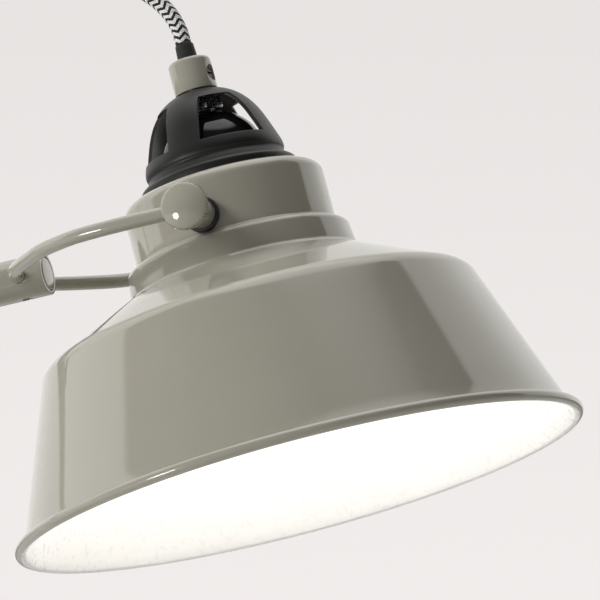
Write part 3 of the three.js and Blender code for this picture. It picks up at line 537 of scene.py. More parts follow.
def knob(name, low, at, bore):
    """A slightly domed disc knob with a knurled rim and a blind bore, its bearing face at low."""
    line = softened([
        [0, low + KNOB_BORE_DEPTH], [bore, low + KNOB_BORE_DEPTH], [bore, low], [KNOB_R - 0.8, low, 0.3],
        [KNOB_R, low + 0.8, 0.3], [KNOB_R, low + 2.9, 0.3], [KNOB_R - 0.5, low + 3.3],
    ], 5)
    crown = math.asin((KNOB_R - 0.5) / KNOB_DOME_R)
    for k in range(1, 13):
        lean = crown * (1 - k / 12)
        line.append((KNOB_DOME_R * math.sin(lean), low + KNOB_THICK - KNOB_DOME_R * (1 - math.cos(lean))))
    return turned(name, line, 240, at, knurl=(KNOB_R - 0.25, 60, 0.4))


def hexagon_head(name, flats, low, high):
    radius = flats / math.sqrt(3)
    return turned(name, [(0, low), (radius, low), (radius, high), (0, high)], 6)


def clamp_set(prefix, at, bolt_body, knob_body):
    """Bolt, two washers and knob of one arm hinge. at is the hinge's frame, Y along the axis."""
    bolt = hexagon_head("head", 10, EAR_FACE + GAP, EAR_FACE + GAP + 4.5)
    bolt.data.transform(ACROSS)
    bolt = weld(solid_rod(BOLT_R, -EAR_FACE - GAP - 4, EAR_FACE + GAP + 1, ACROSS, 32), bolt)
    bolt.name = f"{prefix}_hex_bolt"
    fit(eased(bolt, 0.3, at), ZINC, bolt_body, [f"{prefix}_bolt"])
    for side, label in ((-1, "near"), (1, "far")):
        low = TONGUE_THICK / 2 + GAP
        ring = softened([
            [BOLT_R + GAP, low], [TONGUE_R, low, 0.3], [TONGUE_R, low + PAD, 0.3], [BOLT_R + GAP, low + PAD],
        ], 3)
        turn = at @ Matrix.Rotation(math.radians(side * -90), 4, "X")
        washer = turned(f"{prefix}_pad_{label}", ring, 56, turn)
        fit(washer, RUBBER, bolt_body, [f"{prefix}_washer_{label}"])
    disc = knob(f"{prefix}_clamp_knob", EAR_FACE + GAP, at @ Matrix.Rotation(math.radians(90), 4, "X"), BOLT_R + GAP)
    fit(disc, SAGE, knob_body, [f"{prefix}_knob"])


def grommet(name, at, surface, body, node):
    """Rubber grommet round a cord where it enters the metal. Its axis is +Z of the frame."""
    line = softened([
        [0, surface - 2], [4.6, surface - 2], [4.6, surface + 0.6], [5.6, surface + 0.8, 0.4], [5.6, surface + 2.2, 0.5],
        [CORD_R + 0.6, surface + 6, 0.3], [0, surface + 6],
    ], 4)
    fit(turned(name, line, 40, at), RUBBER, body, [node])


base_hinge = Matrix.Translation(joints["lower_arm_tilt"]["pos_m"])
hub = cut(
    fork("swivel_fork", solid_rod(POST_R, POST_TOP_Z + GAP - 74, -COLLAR + 2)),
    solid_rod(PIN_R + GAP, -60, POST_TOP_Z + 12.5 - 74),
)
fit(eased(hub, 0.6, base_hinge), SAGE, "swivel", ["swivel_head"])
to_hub = Matrix.Translation((0, 0, (POST_TOP_Z + 7.5) * MM)) @ Matrix.Rotation(math.radians(-90), 4, "Y")
grommet("hub_inlet", to_hub, POST_R, "swivel", "hub_grommet")
clamp_set("base_hinge", base_hinge, "swivel", "base_knob")

# ---------------------------------------------------------------- lower arm
# A straight drawn tube with a tongue pressed in at its foot and a fork at its top, and a rubber
# grommet behind each end where the flex enters and leaves.
LOWER_LENGTH = 360
lower_arm = base_hinge @ Matrix.Rotation(-LOWER_LEAN, 4, "Y")
elbow_frame = lower_arm @ Matrix.Translation((0, 0, LOWER_LENGTH * MM))
foot_tongue = tongue("foot_tongue")
foot_tongue = eased(foot_tongue, 0.4, lower_arm @ Matrix.Rotation(math.pi, 4, "X"))
fit(foot_tongue, SAGE, "lower_arm", ["lower_arm_tongue"])
elbow = fork("elbow_yoke", tube_stem())
fit(eased(elbow, 0.5, elbow_frame), SAGE, "lower_arm", ["elbow_fork"])
PORT = COLLAR_END + GAP + 12 + 4.6 + 2.1


def drawn_tube(name, low, high, cutters, at):
    pipe = turned(name, [(BORE_R, low), (TUBE_R, low), (TUBE_R, high), (BORE_R, high)], FINE)
    return eased(cut(pipe, *cutters), 0.25, at)


ports = [PORT, LOWER_LENGTH - PORT]
port_holes = [
    solid_rod(4.9, 2, TUBE_R + 3, Matrix.Translation((0, 0, z * MM)) @ Matrix.Rotation(math.radians(-90), 4, "Y"))
    for z in ports
]
fit(
    drawn_tube("lower_tube", COLLAR_END + GAP, LOWER_LENGTH - COLLAR_END - GAP, port_holes, lower_arm),
    SAGE, "lower_arm", ["lower_arm_tube"],
)
for z, node in zip(ports, ("lower_arm_grommet_foot", "lower_arm_grommet_top")):
    at = lower_arm @ Matrix.Translation((0, 0, z * MM)) @ Matrix.Rotation(math.radians(-90), 4, "Y")
    grommet(node.replace("grommet", "inlet"), at, TUBE_R, "lower_arm", node)
clamp_set("elbow", elbow_frame, "lower_arm", "elbow_clamp")

# ---------------------------------------------------------------- upper arm and bail
# The same tube, cross-drilled at its end for the bail, which is one length of round bar bent to a U.
# A grub screw under the tube locks it, and a pressed disc closes the end.
pivot = Vector(joints["shade_tilt"]["pos_m"])
along_arm = Vector((math.cos(UPPER_RISE), 0, math.sin(UPPER_RISE)))
above_arm = Vector((-math.sin(UPPER_RISE), 0, math.cos(UPPER_RISE)))
arm_end_frame = axes(pivot, along_arm, above_arm)          # x out along the arm, z above it
elbow_at = Vector(joints["elbow_tilt"]["pos_m"])
upper_arm = axes(elbow_at, along_arm, above_arm)
UPPER_LENGTH = (pivot - elbow_at).length / MM
ARM_END, BAIL_CROSS, HEAD_PORT = 75, 84.5, 185
ROD_R = 2.75
NECK_R = 38.9
PAD_THICK, BUSH_LENGTH, BUSH_R, STUD_R = 3, 17.3, 5.9, 2.5
BUSH_LOW = NECK_R + 2 * GAP + PAD_THICK + GAP
BUSH_HIGH = BUSH_LOW + BUSH_LENGTH
BAIL_HALF = BUSH_HIGH - ROD_R - 0.8
fit(
    eased(tongue("elbow_tongue"), 0.4, upper_arm @ Matrix.Rotation(math.radians(-90), 4, "Y")),
    SAGE, "upper_arm", ["upper_arm_tongue"],
)
lie_down = Matrix.Rotation(math.radians(90), 4, "Y")
tube_end, cross = UPPER_LENGTH - ARM_END, UPPER_LENGTH - BAIL_CROSS
at_cross = Matrix.Translation((cross * MM, 0, 0))
upper_ports = [PORT, UPPER_LENGTH - HEAD_PORT]
pipe = turned(
    "upper_tube",
    [(BORE_R, COLLAR_END + GAP), (TUBE_R, COLLAR_END + GAP), (TUBE_R, tube_end), (BORE_R, tube_end)],
    96, lie_down,
)
pipe = cut(
    pipe,
    solid_rod(ROD_R + 0.12, -12, 12, at_cross @ ACROSS, 40),
    solid_rod(2.1, -12, -2, at_cross, 40),
    *[solid_rod(4.9, 2, 12, Matrix.Translation((x * MM, 0, 0)), 40) for x in upper_ports],
)
fit(eased(pipe, 0.3, upper_arm), SAGE, "upper_arm", ["upper_arm_tube"])
for x, node in zip(upper_ports, ("upper_arm_grommet_elbow", "upper_arm_grommet_head")):
    grommet(node.replace("grommet", "inlet"), upper_arm @ Matrix.Translation((x * MM, 0, 0)), TUBE_R, "upper_arm", node)
disc_line = softened([[0, -22], [BORE_R - 0.3, -22], [BORE_R - 0.3, -0.7, 0.4], [BORE_R - 0.9, 0.15, 0.4], [0, 0.5]], 5)
end_disc = cut(
    turned("arm_end_disc", disc_line, 96, Matrix.Translation((tube_end * MM, 0, 0)) @ lie_down),
    solid_rod(ROD_R + 0.12, -12, 12, at_cross @ ACROSS, 40),
    solid_rod(2.1, -12, -2, at_cross, 40),
)
crisp_edges(end_disc.data)
end_disc.data.transform(upper_arm)
fit(end_disc, SAGE, "upper_arm", ["arm_end_plug"])
BLACK_STEEL = finish_with_grain("black_steel", (0.035, 0.035, 0.036), (0.35, 0.5), 900, (0.1, 0.0001), metallic=0.9)
grub_line = softened([[0, -7.3], [1.7, -7.3, 0.2], [1.9, -7, 0.2], [1.9, -3.1], [0, -3.1]], 2)
grub = turned("grub_screw", grub_line, 32, at_cross)
grub = cut(grub, solid_rod(0.9, -9, -5.6, at_cross, 6))
crisp_edges(grub.data)
grub.data.transform(upper_arm)
fit(grub, BLACK_STEEL, "upper_arm", ["bail_set_screw"])

BAIL_LINE = [
    (STUD_R + 1.1, BAIL_HALF), (12, BAIL_HALF), (20, BAIL_HALF), (28, BAIL_HALF - 0.3), (36, BAIL_HALF - 1),
    (46, BAIL_HALF - 3), (55, BAIL_HALF - 7.6), (63, BAIL_HALF - 13.4), (70.5, 34.6), (76.5, 26.9), (81.3, 19.5),
    (84, 13.2), (BAIL_CROSS, 8), (BAIL_CROSS, 3),
]
half = [Vector((-back, -side, 0)) for back, side in BAIL_LINE]
bail = round_bar("bail", smooth_line([*half, *[Vector((p.x, -p.y, 0)) for p in reversed(half)]], 8), ROD_R, 32)
bail.data.transform(arm_end_frame)
fit(bail, SAGE, "upper_arm", ["bail_rod"])

# ---------------------------------------------------------------- shade hinge
# On each side of the neck: a zinc stud from inside, a rubber washer, the bush that the bail is let
# into, and a knurled knob. The knobs clamp the shade at its tilt.
for side, label in ((-1, "near"), (1, "far")):
    out = arm_end_frame @ Matrix.Rotation(math.radians(side * -90), 4, "X")
    low = NECK_R + 2 * GAP
    ring = softened([
        [STUD_R + GAP, low], [6.8, low, 0.7], [6.8, low + PAD_THICK, 0.7], [STUD_R + GAP, low + PAD_THICK],
    ], 4)
    fit(turned(f"tilt_pad_{label}", ring, 64, out), RUBBER, "shade", [f"tilt_washer_{label}"])
    bush = softened([
        [STUD_R + GAP, BUSH_LOW], [BUSH_R, BUSH_LOW, 0.6], [BUSH_R, BUSH_HIGH, 0.5], [STUD_R + GAP, BUSH_HIGH],
    ], 4)
    fit(turned(f"bail_boss_{label}", bush, 72, out), SAGE, "upper_arm", [f"bail_bush_{label}"])
    inner = NECK_R - 1 - 2 * GAP
    stud = softened([
        [0, inner - 3], [4.6, inner - 3, 0.8], [4.6, inner - 0.4, 0.3], [STUD_R, inner - 0.4],
        [STUD_R, BUSH_HIGH + GAP + 3.2], [0, BUSH_HIGH + GAP + 3.2],
    ], 4)
    fit(turned(f"tilt_stud_{label}", stud, 48, out), ZINC, "shade", [f"tilt_screw_{label}"])
    disc = knob(f"tilt_clamp_knob_{label}", BUSH_HIGH + GAP, out, STUD_R + GAP)
    fit(disc, SAGE, f"{label}_knob", [f"tilt_knob_{label}"])

# ---------------------------------------------------------------- shade
# Spun steel, 1 mm, in one piece: neck, stepped collar, shoulder and cone, with its edge rolled
# outwards to a bead. Sage enamel outside, white enamel inside.
SHADE_HINGE_Z = 102.8
RIM_R, LIP_R, LIP_STEP, SHADE_WALL = 109.8, 2.1, 4.1, 1.0
shade_up = Vector((-math.sin(SHADE_LEAN), 0, math.cos(SHADE_LEAN)))
shade_side = Vector((math.cos(SHADE_LEAN), 0, math.sin(SHADE_LEAN)))
shade_frame = axes(pivot - shade_up * SHADE_HINGE_Z * MM, shade_side, shade_up)
WHITE = finish_with_grain("white_enamel", (0.9, 0.895, 0.88), (0.25, 0.35), 420, (0.03, 0.0002), tint=0.01)

outer = softened([
    [20.3, 120], [NECK_R, 120, 4.5], [NECK_R, 95.4, 1.3], [43.1, 95.4, 3], [44.3, 84.2, 2], [83.5, 65, 9],
    [RIM_R - LIP_STEP, 2 * LIP_R],
], 12)
# the long plain stretch of the cone gets rings of its own, so that its highlights stay even
foot_point = outer.pop()
last = outer[-1]
for k in range(1, 13):
    outer.append((last[0] + (foot_point[0] - last[0]) * k / 12, last[1] + (foot_point[1] - last[1]) * k / 12))
bead = []
for degrees in range(140, -151, -12):
    a = math.radians(degrees)
    bead.append((RIM_R - LIP_R + LIP_R * math.cos(a), LIP_R + LIP_R * math.sin(a)))
inner = []
for i, (r, z) in enumerate(outer):
    before, after = Vector(outer[max(i - 1, 0)]), Vector(outer[min(i + 1, len(outer) - 1)])
    way = (after - before).normalized()
    inner.append((r + way.y * SHADE_WALL, z - way.x * SHADE_WALL))
inner = [(max(r, 20.3), z) for r, z in inner]
profile = outer + bead + inner[::-1]
SIDES = 160
shade = turned("shade_bell", profile, SIDES, shade_frame)
fit(shade, SAGE, "shade", ["shade"])
shade.data.materials.append(WHITE)
bell_up, bell_origin = shade_up, shade_frame.translation
for polygon in shade.data.polygons:
    rel = polygon.center - bell_origin
    height = rel.dot(bell_up)
    radial = rel - bell_up * height
    faces_in = polygon.normal.dot(radial.normalized()) + polygon.normal.dot(bell_up) * 0.35 < 0
    if faces_in and (height > 2 * LIP_R or radial.length < (RIM_R - LIP_R) * MM):
        polygon.material_index = 1

# ---------------------------------------------------------------- socket cap
# A black vented cap over the lampholder, satin stoved: a beaded foot, four windows with straight
# ribs between them, and a round crown with a hole for the nipple.
CAP_FOOT, CAP_WAIST, CAP_RIB, CAP_TURN = 30.3, 26.3, 13.3, -54
WINDOW_FOOT, WINDOW_TOP = 133.8, 152.2
SATIN = finish_with_grain("black_satin", (0.010, 0.010, 0.0097), (0.4, 0.5), 1600, (0.12, 0.0001))
crown = [
    (CAP_FOOT, 120.3), (CAP_FOOT, 121.6), (CAP_FOOT, 123), (30, 123.9), (28.9, 124.8), (27.6, 125.8), (26.7, 126.9),
    (CAP_WAIST, 127.7), (26.45, 128.3), (26.85, 129), (26.95, 130.2), (26.7, 131.7), (26, 133.9), (25.2, 136.2),
    (24.1, 139.3), (22.5, 143.5), (20.9, 146.8), (18.9, 149.9), (16.3, 152.8), (13.2, 155.2), (9.8, 156.9), (7.5, 157.5),
    (5.3, 157.6),
]
crown = [tuple(p) for p in smooth_line([(r, z, 0) for r, z in crown], 3)]
crown = [(p[0], p[1]) for p in crown]
inside = []
for i, (r, z) in enumerate(crown):
    before, after = Vector(crown[max(i - 1, 0)]), Vector(crown[min(i + 1, len(crown) - 1)])
    way = (after - before).normalized()
    inside.append((max(5.3, r - way.y * 1.3), max(120.3, z + way.x * 1.3)))
cap = turned("vented_cap", crown + inside[::-1], 144)
windows = []
for k in range(4):
    turn = math.radians(CAP_TURN + 90 * k)
    shelf = CAP_RIB / 2 / math.sin(math.radians(45))
    mesh = bpy.data.meshes.new("window")
    work = bmesh.new()
    plan = ((shelf, 0), (shelf + 40, -40), (shelf + 40, 40))
    low = [work.verts.new(Vector((x, y, WINDOW_FOOT)) * MM) for x, y in plan]
    high = [work.verts.new(Vector((v.co.x / MM, v.co.y / MM, WINDOW_TOP)) * MM) for v in low]
    work.faces.new(low[::-1])
    work.faces.new(high)
    for i in range(3):
        n = (i + 1) % 3
        work.faces.new((low[i], low[n], high[n], high[i]))
    work.to_mesh(mesh)
    work.free()
    mesh.transform(Matrix.Rotation(turn, 4, "Z"))
    window = bpy.data.objects.new("window", mesh)
    bpy.context.scene.collection.objects.link(window)
    windows.append(window)
cap = eased(cut(cap, *windows), 0.25, shade_frame)
fit(cap, SATIN, "shade", ["socket_cap"])

# ---------------------------------------------------------------- lampholder and its fixings
# A glossy black moulded lampholder through the top of the neck, held by a ring below. Above it a
# threaded zinc nipple and nut carry the cap and the sage cord grip.
HOLDER_R, HOLDER_DOME, HOLDER_TOP = 19.6, 133, 149.4
GLOSS = finish_with_grain("black_gloss", (0.008, 0.008, 0.009), (0.05, 0.09), 500, (0.02, 0.0001), tint=0.1)
BRASS = finish_with_grain("brass", (0.66, 0.5, 0.24), (0.22, 0.36), 900, (0.06, 0.0001), metallic=1)
dome = [(HOLDER_R * math.cos(a), HOLDER_DOME + 16.4 * math.sin(a)) for a in [math.radians(5 * k) for k in range(1, 15)]]
holder = [
    *softened([
        [HOLDER_R, 89], [HOLDER_R, 120.3], [HOLDER_R + 2.6, 120.3], [HOLDER_R + 2.6, 122.3, 0.5], [HOLDER_R, 122.7, 0.3],
        [HOLDER_R, HOLDER_DOME],
    ], 4),
    *dome, (5.3, HOLDER_TOP), (5.3, HOLDER_TOP - 2.2), (HOLDER_R - 2.2, 129), (HOLDER_R - 2.2, 89),
]
fit(turned("holder_body", holder, 96, shade_frame), GLOSS, "shade", ["lampholder"])
threads = [(17.1, 91), (17.1, 118), (4, 118), (4, 116.5), (15.5, 116.5)]
for k in range(7):
    z = 114.5 - 3.4 * k
    threads += [(15.5, z), (14.7, z - 0.85), (15.5, z - 1.7)]
fit(turned("screw_shell", [*threads, (15.5, 91)], 64, shade_frame), BRASS, "shade", ["lampholder_shell"])
ring = softened([
    [HOLDER_R + GAP, 114.2], [HOLDER_R + 6.5, 114.2, 1], [HOLDER_R + 6.5, 118.7, 0.4], [HOLDER_R + GAP, 118.7],
], 4)
holder_ring = turned("holder_ring", ring, 180, shade_frame, knurl=(HOLDER_R + 6.2, 36, 0.6))
fit(holder_ring, SATIN, "shade", ["shade_ring"])
nipple = [(CORD_R + 0.4, 146.4), (4.6, 146.4)]
for k in range(17):
    z = 147 + k
    nipple += [(4.6, z), (5.0, z + 0.25), (5.0, z + 0.5), (4.6, z + 0.75)]
nipple_tube = turned("threaded_nipple", [*nipple, (4.6, 165), (CORD_R + 0.4, 165)], 48, shade_frame)
fit(nipple_tube, ZINC, "shade", ["cord_nipple"])
nut = cut(hexagon_head("crown_nut", 15, 149.7, 154.7), solid_rod(5.2, 145, 157))
fit(eased(nut, 0.45, shade_frame), ZINC, "shade", ["clamp_nut"])

GRIP_R, GRIP_TURN, GRIP_SCREW_Z = 8.3, -8, 163.6
GRIP_FOOT, GRIP_TOP, SLEEVE_TOP = 157.9, 171, 177.6
grip_line = softened([
    [5.3, GRIP_FOOT], [GRIP_R, GRIP_FOOT, 0.3], [GRIP_R, GRIP_TOP, 1.8], [4.2, GRIP_TOP], [4.2, GRIP_TOP - 5.4],
    [5.3, GRIP_TOP - 5.7],
], 8)
to_screw = Matrix.Rotation(math.radians(GRIP_TURN), 4, "Z") @ Matrix.Translation((0, 0, GRIP_SCREW_Z * MM)) @ lie_down
grip = cut(turned("cord_grip_barrel", grip_line, 96), solid_rod(3.3, 4, 11, to_screw, 40))
fit(eased(grip, 0.2, shade_frame), SAGE, "shade", ["cord_grip"])
screw = turned("pinch_screw", softened([[0, 5.3], [2.9, 5.3], [2.9, 7.2, 0.4], [0, 7.4]], 3), 40, to_screw)
slit = solid_box((6.5, -3.2, -0.4), (9, 3.2, 0.4))
slit.data.transform(Matrix.Rotation(math.radians(GRIP_TURN), 4, "Z") @ Matrix.Translation((0, 0, GRIP_SCREW_Z * MM)))
screw = cut(screw, slit)
crisp_edges(screw.data)
screw.data.transform(shade_frame)
fit(screw, BLACK_STEEL, "shade", ["grip_screw"])
sleeve = softened([
    [0, GRIP_TOP - 5], [3.9, GRIP_TOP - 5], [3.9, GRIP_TOP], [3.6, SLEEVE_TOP - 1.5, 4], [3.5, SLEEVE_TOP, 0.6],
    [0, SLEEVE_TOP],
], 6)
fit(turned("flex_sleeve", sleeve, 48, shade_frame), RUBBER, "shade", ["strain_sleeve"])

# ---------------------------------------------------------------- bulb
# A small opal golf-ball bulb on a brass screw base. It is on, so the white inside of the shade is
# brightly lit.
BULB_R = 22.5


def opal_glow():
    """Opal glass with an even glow, a little softer where the glass is thick."""
    material, tree, shader = blank_material("opal_glass")
    thick = tree.nodes.new("ShaderNodeGroup")
    thick.node_tree = FINE_GRAIN
    for label, value in zip(("Scale", "Detail", "Low", "High"), (60, 2, 0, 1)):
        thick.inputs[label].default_value = value
    glow = tree.nodes.new("ShaderNodeMix")
    glow.data_type = "RGBA"
    glow.inputs["A"].default_value = (1, 0.96, 0.9, 1)
    glow.inputs["B"].default_value = (1, 0.985, 0.95, 1)
    tree.links.new(thick.outputs["Value"], glow.inputs["Factor"])
    tree.links.new(glow.outputs["Result"], shader.inputs["Emission Color"])
    tree.links.new(glow.outputs["Result"], shader.inputs["Base Color"])
    shader.inputs["Emission Strength"].default_value = 12.5
    shader.inputs["Roughness"].default_value = 0.2
    return material


globe_centre = 90 - BULB_R - 3
globe = [(0, globe_centre - BULB_R)]
for degrees in range(-84, 61, 6):
    a = math.radians(degrees)
    globe.append((BULB_R * math.cos(a), globe_centre + BULB_R * math.sin(a)))
globe += [(12.6, 87.5), (13, 90)]
foot_of_bulb = [(13, 90)]
for k in range(6):
    z = 91.5 + 3.4 * k
    foot_of_bulb += [(12.6, z), (13, z + 0.85), (12.6, z + 1.7)]
foot_of_bulb += [(12.4, 111), (5, 115.5), (0, 115.5)]
bulb = turned("opal_bulb", globe + foot_of_bulb, 72, shade_frame)
fit(bulb, opal_glow(), "shade", ["bulb"])
bulb.data.materials.append(BRASS)
for polygon in bulb.data.polygons:
    if (polygon.center - bell_origin).dot(bell_up) > 90 * MM:
        polygon.material_index = 1

# ---------------------------------------------------------------- hand switch, plug and coil tie
# On the lead: a two-part moulded hand switch with a glossy rocker, a round-pin plug with brass pins
# and a rubber strap that ties the coil.


def rounded_plate(name, outline, low, high, ease):
    mesh = bpy.data.meshes.new(name)
    work = bmesh.new()
    bottom = [work.verts.new((x * MM, y * MM, low * MM)) for x, y in outline]
    top = [work.verts.new((x * MM, y * MM, high * MM)) for x, y in outline]
    work.faces.new(bottom[::-1])
    work.faces.new(top)
    for i in range(len(outline)):
        n = (i + 1) % len(outline)
        work.faces.new((bottom[i], bottom[n], top[n], top[i]))
    bmesh.ops.recalc_face_normals(work, faces=work.faces)
    work.to_mesh(mesh)
    work.free()
    obj = bpy.data.objects.new(name, mesh)
    bpy.context.scene.collection.objects.link(obj)
    return eased(obj, ease) if ease else obj


switch_at = Matrix.Translation((-0.172, -0.061, 0))
along_y = Matrix.Rotation(math.radians(-90), 4, "X")
case = softened([[-13, 0], [-13, -29, 5], [13, -29, 5], [13, 29, 5], [-13, 29, 5], [-13, 0]], 8)[1:]
channel = (CORD_R + 0.5, -40, 40, Matrix.Translation((0, 0, 0.007)) @ along_y, 32)
lower_half = cut(rounded_plate("switch_lower_half", case, 0.2, 6.85, 0.8), solid_rod(*channel))
crisp_edges(lower_half.data)
lower_half.data.transform(switch_at)
fit(lower_half, SATIN, "base", ["switch_base"])
upper_half = cut(
    rounded_plate("switch_upper_half", case, 7.15, 17.5, 1.6),
    solid_rod(*channel),
    solid_box((-4.8, -10.5, 10.6), (4.8, 10.5, 19)),
)
crisp_edges(upper_half.data)
upper_half.data.transform(switch_at)
fit(upper_half, SATIN, "base", ["switch_cover"])
side_view = [(-9.5, 17.1), (-9.5, 13.2), (0, 11), (9.5, 13.2), (9.5, 17.1), (8.5, 18.7)]
side_view += [(x, 17.5 + 1.2 * (x / 8.5) ** 2) for x in (6, 3, 0, -3, -6)] + [(-8.5, 18.7)]
rocker = rounded_plate("rocker", side_view, -4.5, 4.5, 0.4)
rocker.data.transform(switch_at @ Matrix.Rotation(math.radians(90), 4, "Z") @ Matrix.Rotation(math.radians(90), 4, "X"))
fit(rocker, GLOSS, "rocker", ["switch_rocker"])

plug_at = Matrix.Translation((-0.146, 0.0954 + 0.0002, 0.0071))
relief = [[0, 0], [CORD_R + 0.6, 0]]
for k in range(6):
    z, r = 1.5 + 3.2 * k, CORD_R + 0.7 + 0.25 * k
    relief += [[r, z, 0.2], [r - 0.6, z + 0.5, 0.2], [r - 0.55, z + 1.2, 0.2], [r + 0.1, z + 1.7, 0.2]]
relief += [[5.2, 22], [0, 22]]
wide = [(21, 5.5), (27, 9), (34, 13), (49, 13), (56, 9.5)]
plug = rounded_plate("plug_shell", [(x, -y) for x, y in wide] + wide[::-1], -6.8, 6.8, 2)
plug = weld(plug, turned("relief", softened(relief, 2), 32, lie_down))
crisp_edges(plug.data)
plug.data.transform(plug_at)
fit(plug, SATIN, "base", ["plug_body"])
pins = []
for hand, label in ((-1, "a"), (1, "b")):
    pin = turned(
        f"round_pin_{label}", softened([[0, 46.3], [2, 46.3], [2, 74, 1], [1, 75, 0.3], [0, 75]], 4), 32,
        plug_at @ Matrix.Translation((0, hand * 0.0095, 0)) @ lie_down,
    )
    pins.append(fit(pin, BRASS, "base", [f"plug_pin_{label}"]))
paint_node("coil_tie", RUBBER)

# ---------------------------------------------------------------- mains lead
# The same flex leaves the back of the base, runs through the hand switch and is wound into a tied
# coil of two layers. Its end rolls down over the outer turn to the plug.
LEAD = [
    (-124.6, 0, 9.5), (-133, 0, 8.9), (-141, -1, 6), (-151, -4.5, 3.9), (-161, -11, 3.7),
    (-168.5, -20, 5.4), (-171.6, -30, 6.9), (-172, -40, 7), (-172, -61, 7), (-172, -82, 7),
    (-172.4, -92, 6.8), (-175.5, -103, 4.6), (-183.5, -112.5, 3.3), (-195, -117.5, 3.3),
    (-208, -116, 3.3), (-219.5, -108, 3.3), (-227.5, -95, 3.3), (-231.2, -79, 3.3), (-232, -61, 3.3),
    (-231.8, -41, 3.3), (-231.5, -20, 3.3), (-231.4, 0, 3.4), (-231.4, 15, 3.8), (-231.4, 30.2, 4.4),
    (-231.4, 42, 4.6), (-231.4, 50, 4.6),
]
TAIL = [
    (-185.5, 101.8, 4.5), (-180, 101.5, 4.4), (-168, 99, 5), (-157, 96.2, 6.4), (-150.5, 95.4, 7), (-146.8, 95.4, 7.1),
]
COIL_AT = (-190, 54)
# radius and height of each turn
COIL_TURNS = [(41.4, 4.6), (35.2, 4.6), (29.0, 4.6), (29.0, 10.8), (35.2, 10.8), (41.4, 10.8)]
ROLL_OVER = 6.4


def wound_coil(steps=36, crossing=0.16):
    """Turns beside and on each other, each passing to the next over a short crossing."""
    line = []
    for k in range(1, round(6.25 * steps) + 1):
        turn, part = divmod(k / steps, 1)
        if turn < 6:
            radius, z = COIL_TURNS[int(turn)]
            share = max(0, (part - 1 + crossing) / crossing)
            share = share * share * (3 - 2 * share)
            next_radius, next_z = COIL_TURNS[min(int(turn) + 1, 5)]
            radius += (next_radius - radius) * share
            z += (next_z - z) * share
        else:
            lean = math.pi / 2 * min(1, part / 0.22)
            radius = COIL_TURNS[5][0] + ROLL_OVER * math.sin(lean)
            z = COIL_TURNS[0][1] + (COIL_TURNS[5][1] - COIL_TURNS[0][1]) * math.cos(lean)
        angle = math.pi - 2 * math.pi * k / steps
        line.append(Vector((COIL_AT[0] + radius * math.cos(angle), COIL_AT[1] + radius * math.sin(angle), z)))
    return line


mains_lead = lay_cord(
    "mains_lead",
    [*smooth_line(LEAD, 5), *wound_coil(), *smooth_line(TAIL, 5)],
    ["mains_cord", "cord_coil", "mains_cord_tail"],
    far_end="plug",
    lay="coiled",
    with_pieces=[lead_gland, lower_half, upper_half, rocker, plug, *pins, frame["nodes"]["coil_tie"]],
)
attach(mains_lead, "base")

# ---------------------------------------------------------------- floor, lights and studio
# A pale floor and a plain pale surround. The gloss sees a bright sweep behind the lamp and a dim
# room before it; the soft light comes from the left.
floor_mesh = bpy.data.meshes.new("studio_floor")
FLOOR, UNDER_FOOT = 40, -0.0004
floor_mesh.from_pydata(
    [(x * FLOOR, y * FLOOR, UNDER_FOOT) for x, y in ((-1, -1), (1, -1), (1, 1), (-1, 1))], [], [(0, 1, 2, 3)]
)
studio_floor = bpy.data.objects.new("studio_floor", floor_mesh)
bpy.context.scene.collection.objects.link(studio_floor)
PALE_FLOOR = finish_with_grain("pale_floor", (0.82, 0.81, 0.795), (0.7, 0.85), 40, (0.02, 0.0005), tint=0.01)
floor_shader = PALE_FLOOR.node_tree.nodes["Principled BSDF"]
floor_shader.inputs["Emission Color"].default_value = (1, 0.985, 0.97, 1)
seen = PALE_FLOOR.node_tree.nodes.new("ShaderNodeLightPath").outputs["Is Camera Ray"]
PALE_FLOOR.node_tree.links.new(
    sum_node(PALE_FLOOR.node_tree, "MULTIPLY", seen, 0.42), floor_shader.inputs["Emission Strength"]
)
floor_mesh.materials.append(PALE_FLOOR)


def soft_light(name, place, target, size, watts, glossy):
    """A round soft light. A glossy one only shows in reflections and lights nothing."""
    data = bpy.data.lights.new(name, "AREA")
    data.shape = "DISK"
    data.size = size
    data.energy = watts
    light = bpy.data.objects.new(name, data)
    bpy.context.scene.collection.objects.link(light)
    way = Vector(target) - Vector(place)
    light.location = place
    light.rotation_euler = way.to_track_quat("-Z", "Y").to_euler()
    light.visible_glossy = glossy
    light.visible_diffuse = not glossy


soft_light("key", (-1.9, -1.9, 1.8), (0.3, 0, 0.45), 1.6, 68, False)
soft_light("top", (0.2, 0.3, 2.4), (0.3, 0, 0.4), 1.8, 25, False)
soft_light("catch", (-0.26, -0.92, 0.2), (0.33, 0, 0.49), 0.26, 3.2, True)

world = bpy.data.worlds.new("studio")
bpy.context.scene.world = world
world.use_nodes = True
tree = world.node_tree
back = tree.nodes["Background"]
coord = tree.nodes.new("ShaderNodeTexCoord")
path = tree.nodes.new("ShaderNodeLightPath")


def along_direction(vector):
    node = tree.nodes.new("ShaderNodeVectorMath")
    node.operation = "DOT_PRODUCT"
    node.inputs[1].default_value = vector
    tree.links.new(coord.outputs["Generated"], node.inputs[0])
    return node.outputs["Value"]


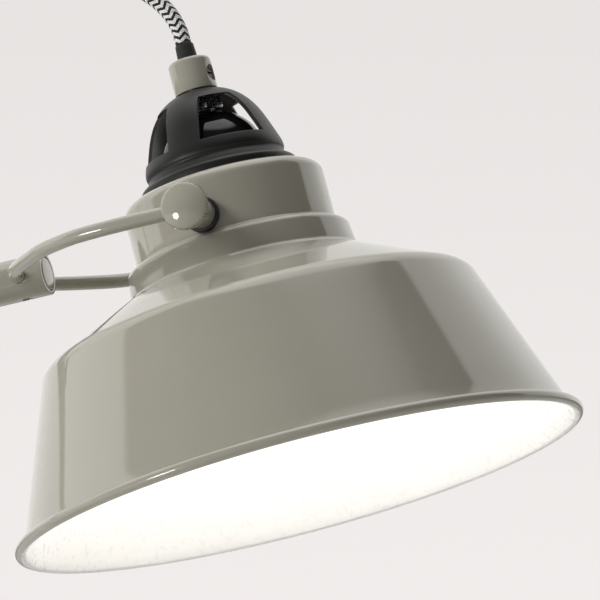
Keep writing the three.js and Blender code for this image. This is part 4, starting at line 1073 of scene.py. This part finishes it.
facing = along_direction((0.2707, -0.9626, 0))
aside = along_direction((0.9626, 0.2707, 0))
turn_round = sum_node(tree, "ARCTAN2", aside, facing)
share = sum_node(tree, "MULTIPLY_ADD", turn_round, 1 / (2 * math.pi))
tree.nodes[-1].inputs[2].default_value = 0.5


def ramp(factor, stops):
    node = tree.nodes.new("ShaderNodeValToRGB")
    tree.links.new(factor, node.inputs[0])
    line = node.color_ramp
    while len(line.elements) < len(stops):
        line.elements.new(1)
    for element, (place, colour) in zip(line.elements, stops):
        element.position = place
        element.color = (*colour, 1)
    return node.outputs[0]


def level(value):
    return (value, value * 0.985, value * 0.955)


SWEEP = [
    (-180, 0.9), (-150, 1.0), (-130, 1.0), (-122, 1.2), (-91, 1.4), (-88, 0.15),
    (0, 0.1), (60, 0.04), (103, 0.03), (106, 1.05), (145, 1.2), (165, 0.9), (180, 0.9),
]
studio = ramp(share, [(degrees / 360 + 0.5, [c / 2 for c in level(value)]) for degrees, value in SWEEP])
rise = tree.nodes.new("ShaderNodeSeparateXYZ")
tree.links.new(coord.outputs["Generated"], rise.inputs[0])
WALL_TONES = [(0.0, (0.90, 0.868, 0.858)), (0.09, (0.875, 0.84, 0.83)), (0.2, (0.80, 0.768, 0.758))]
wall = ramp(rise.outputs[2], WALL_TONES)


def mix_colour(factor, first, second):
    node = tree.nodes.new("ShaderNodeMix")
    node.data_type = "RGBA"
    tree.links.new(factor, node.inputs["Factor"])
    for socket, value in ((node.inputs["A"], first), (node.inputs["B"], second)):
        if isinstance(value, tuple):
            socket.default_value = value
        else:
            tree.links.new(value, socket)
    return node.outputs["Result"]


overhead = ramp(rise.outputs[2], [(0.84, (0, 0, 0)), (0.92, (1, 1, 1))])
doubled = tree.nodes.new("ShaderNodeVectorMath")
doubled.operation = "SCALE"
doubled.inputs["Scale"].default_value = 2
tree.links.new(studio, doubled.inputs[0])
fill = (0.2, 0.198, 0.194, 1)
canopy = mix_colour(overhead, doubled.outputs[0], (1.7, 1.68, 1.65, 1))
lit = mix_colour(path.outputs["Is Glossy Ray"], fill, canopy)
tree.links.new(mix_colour(path.outputs["Is Camera Ray"], lit, wall), back.inputs["Color"])
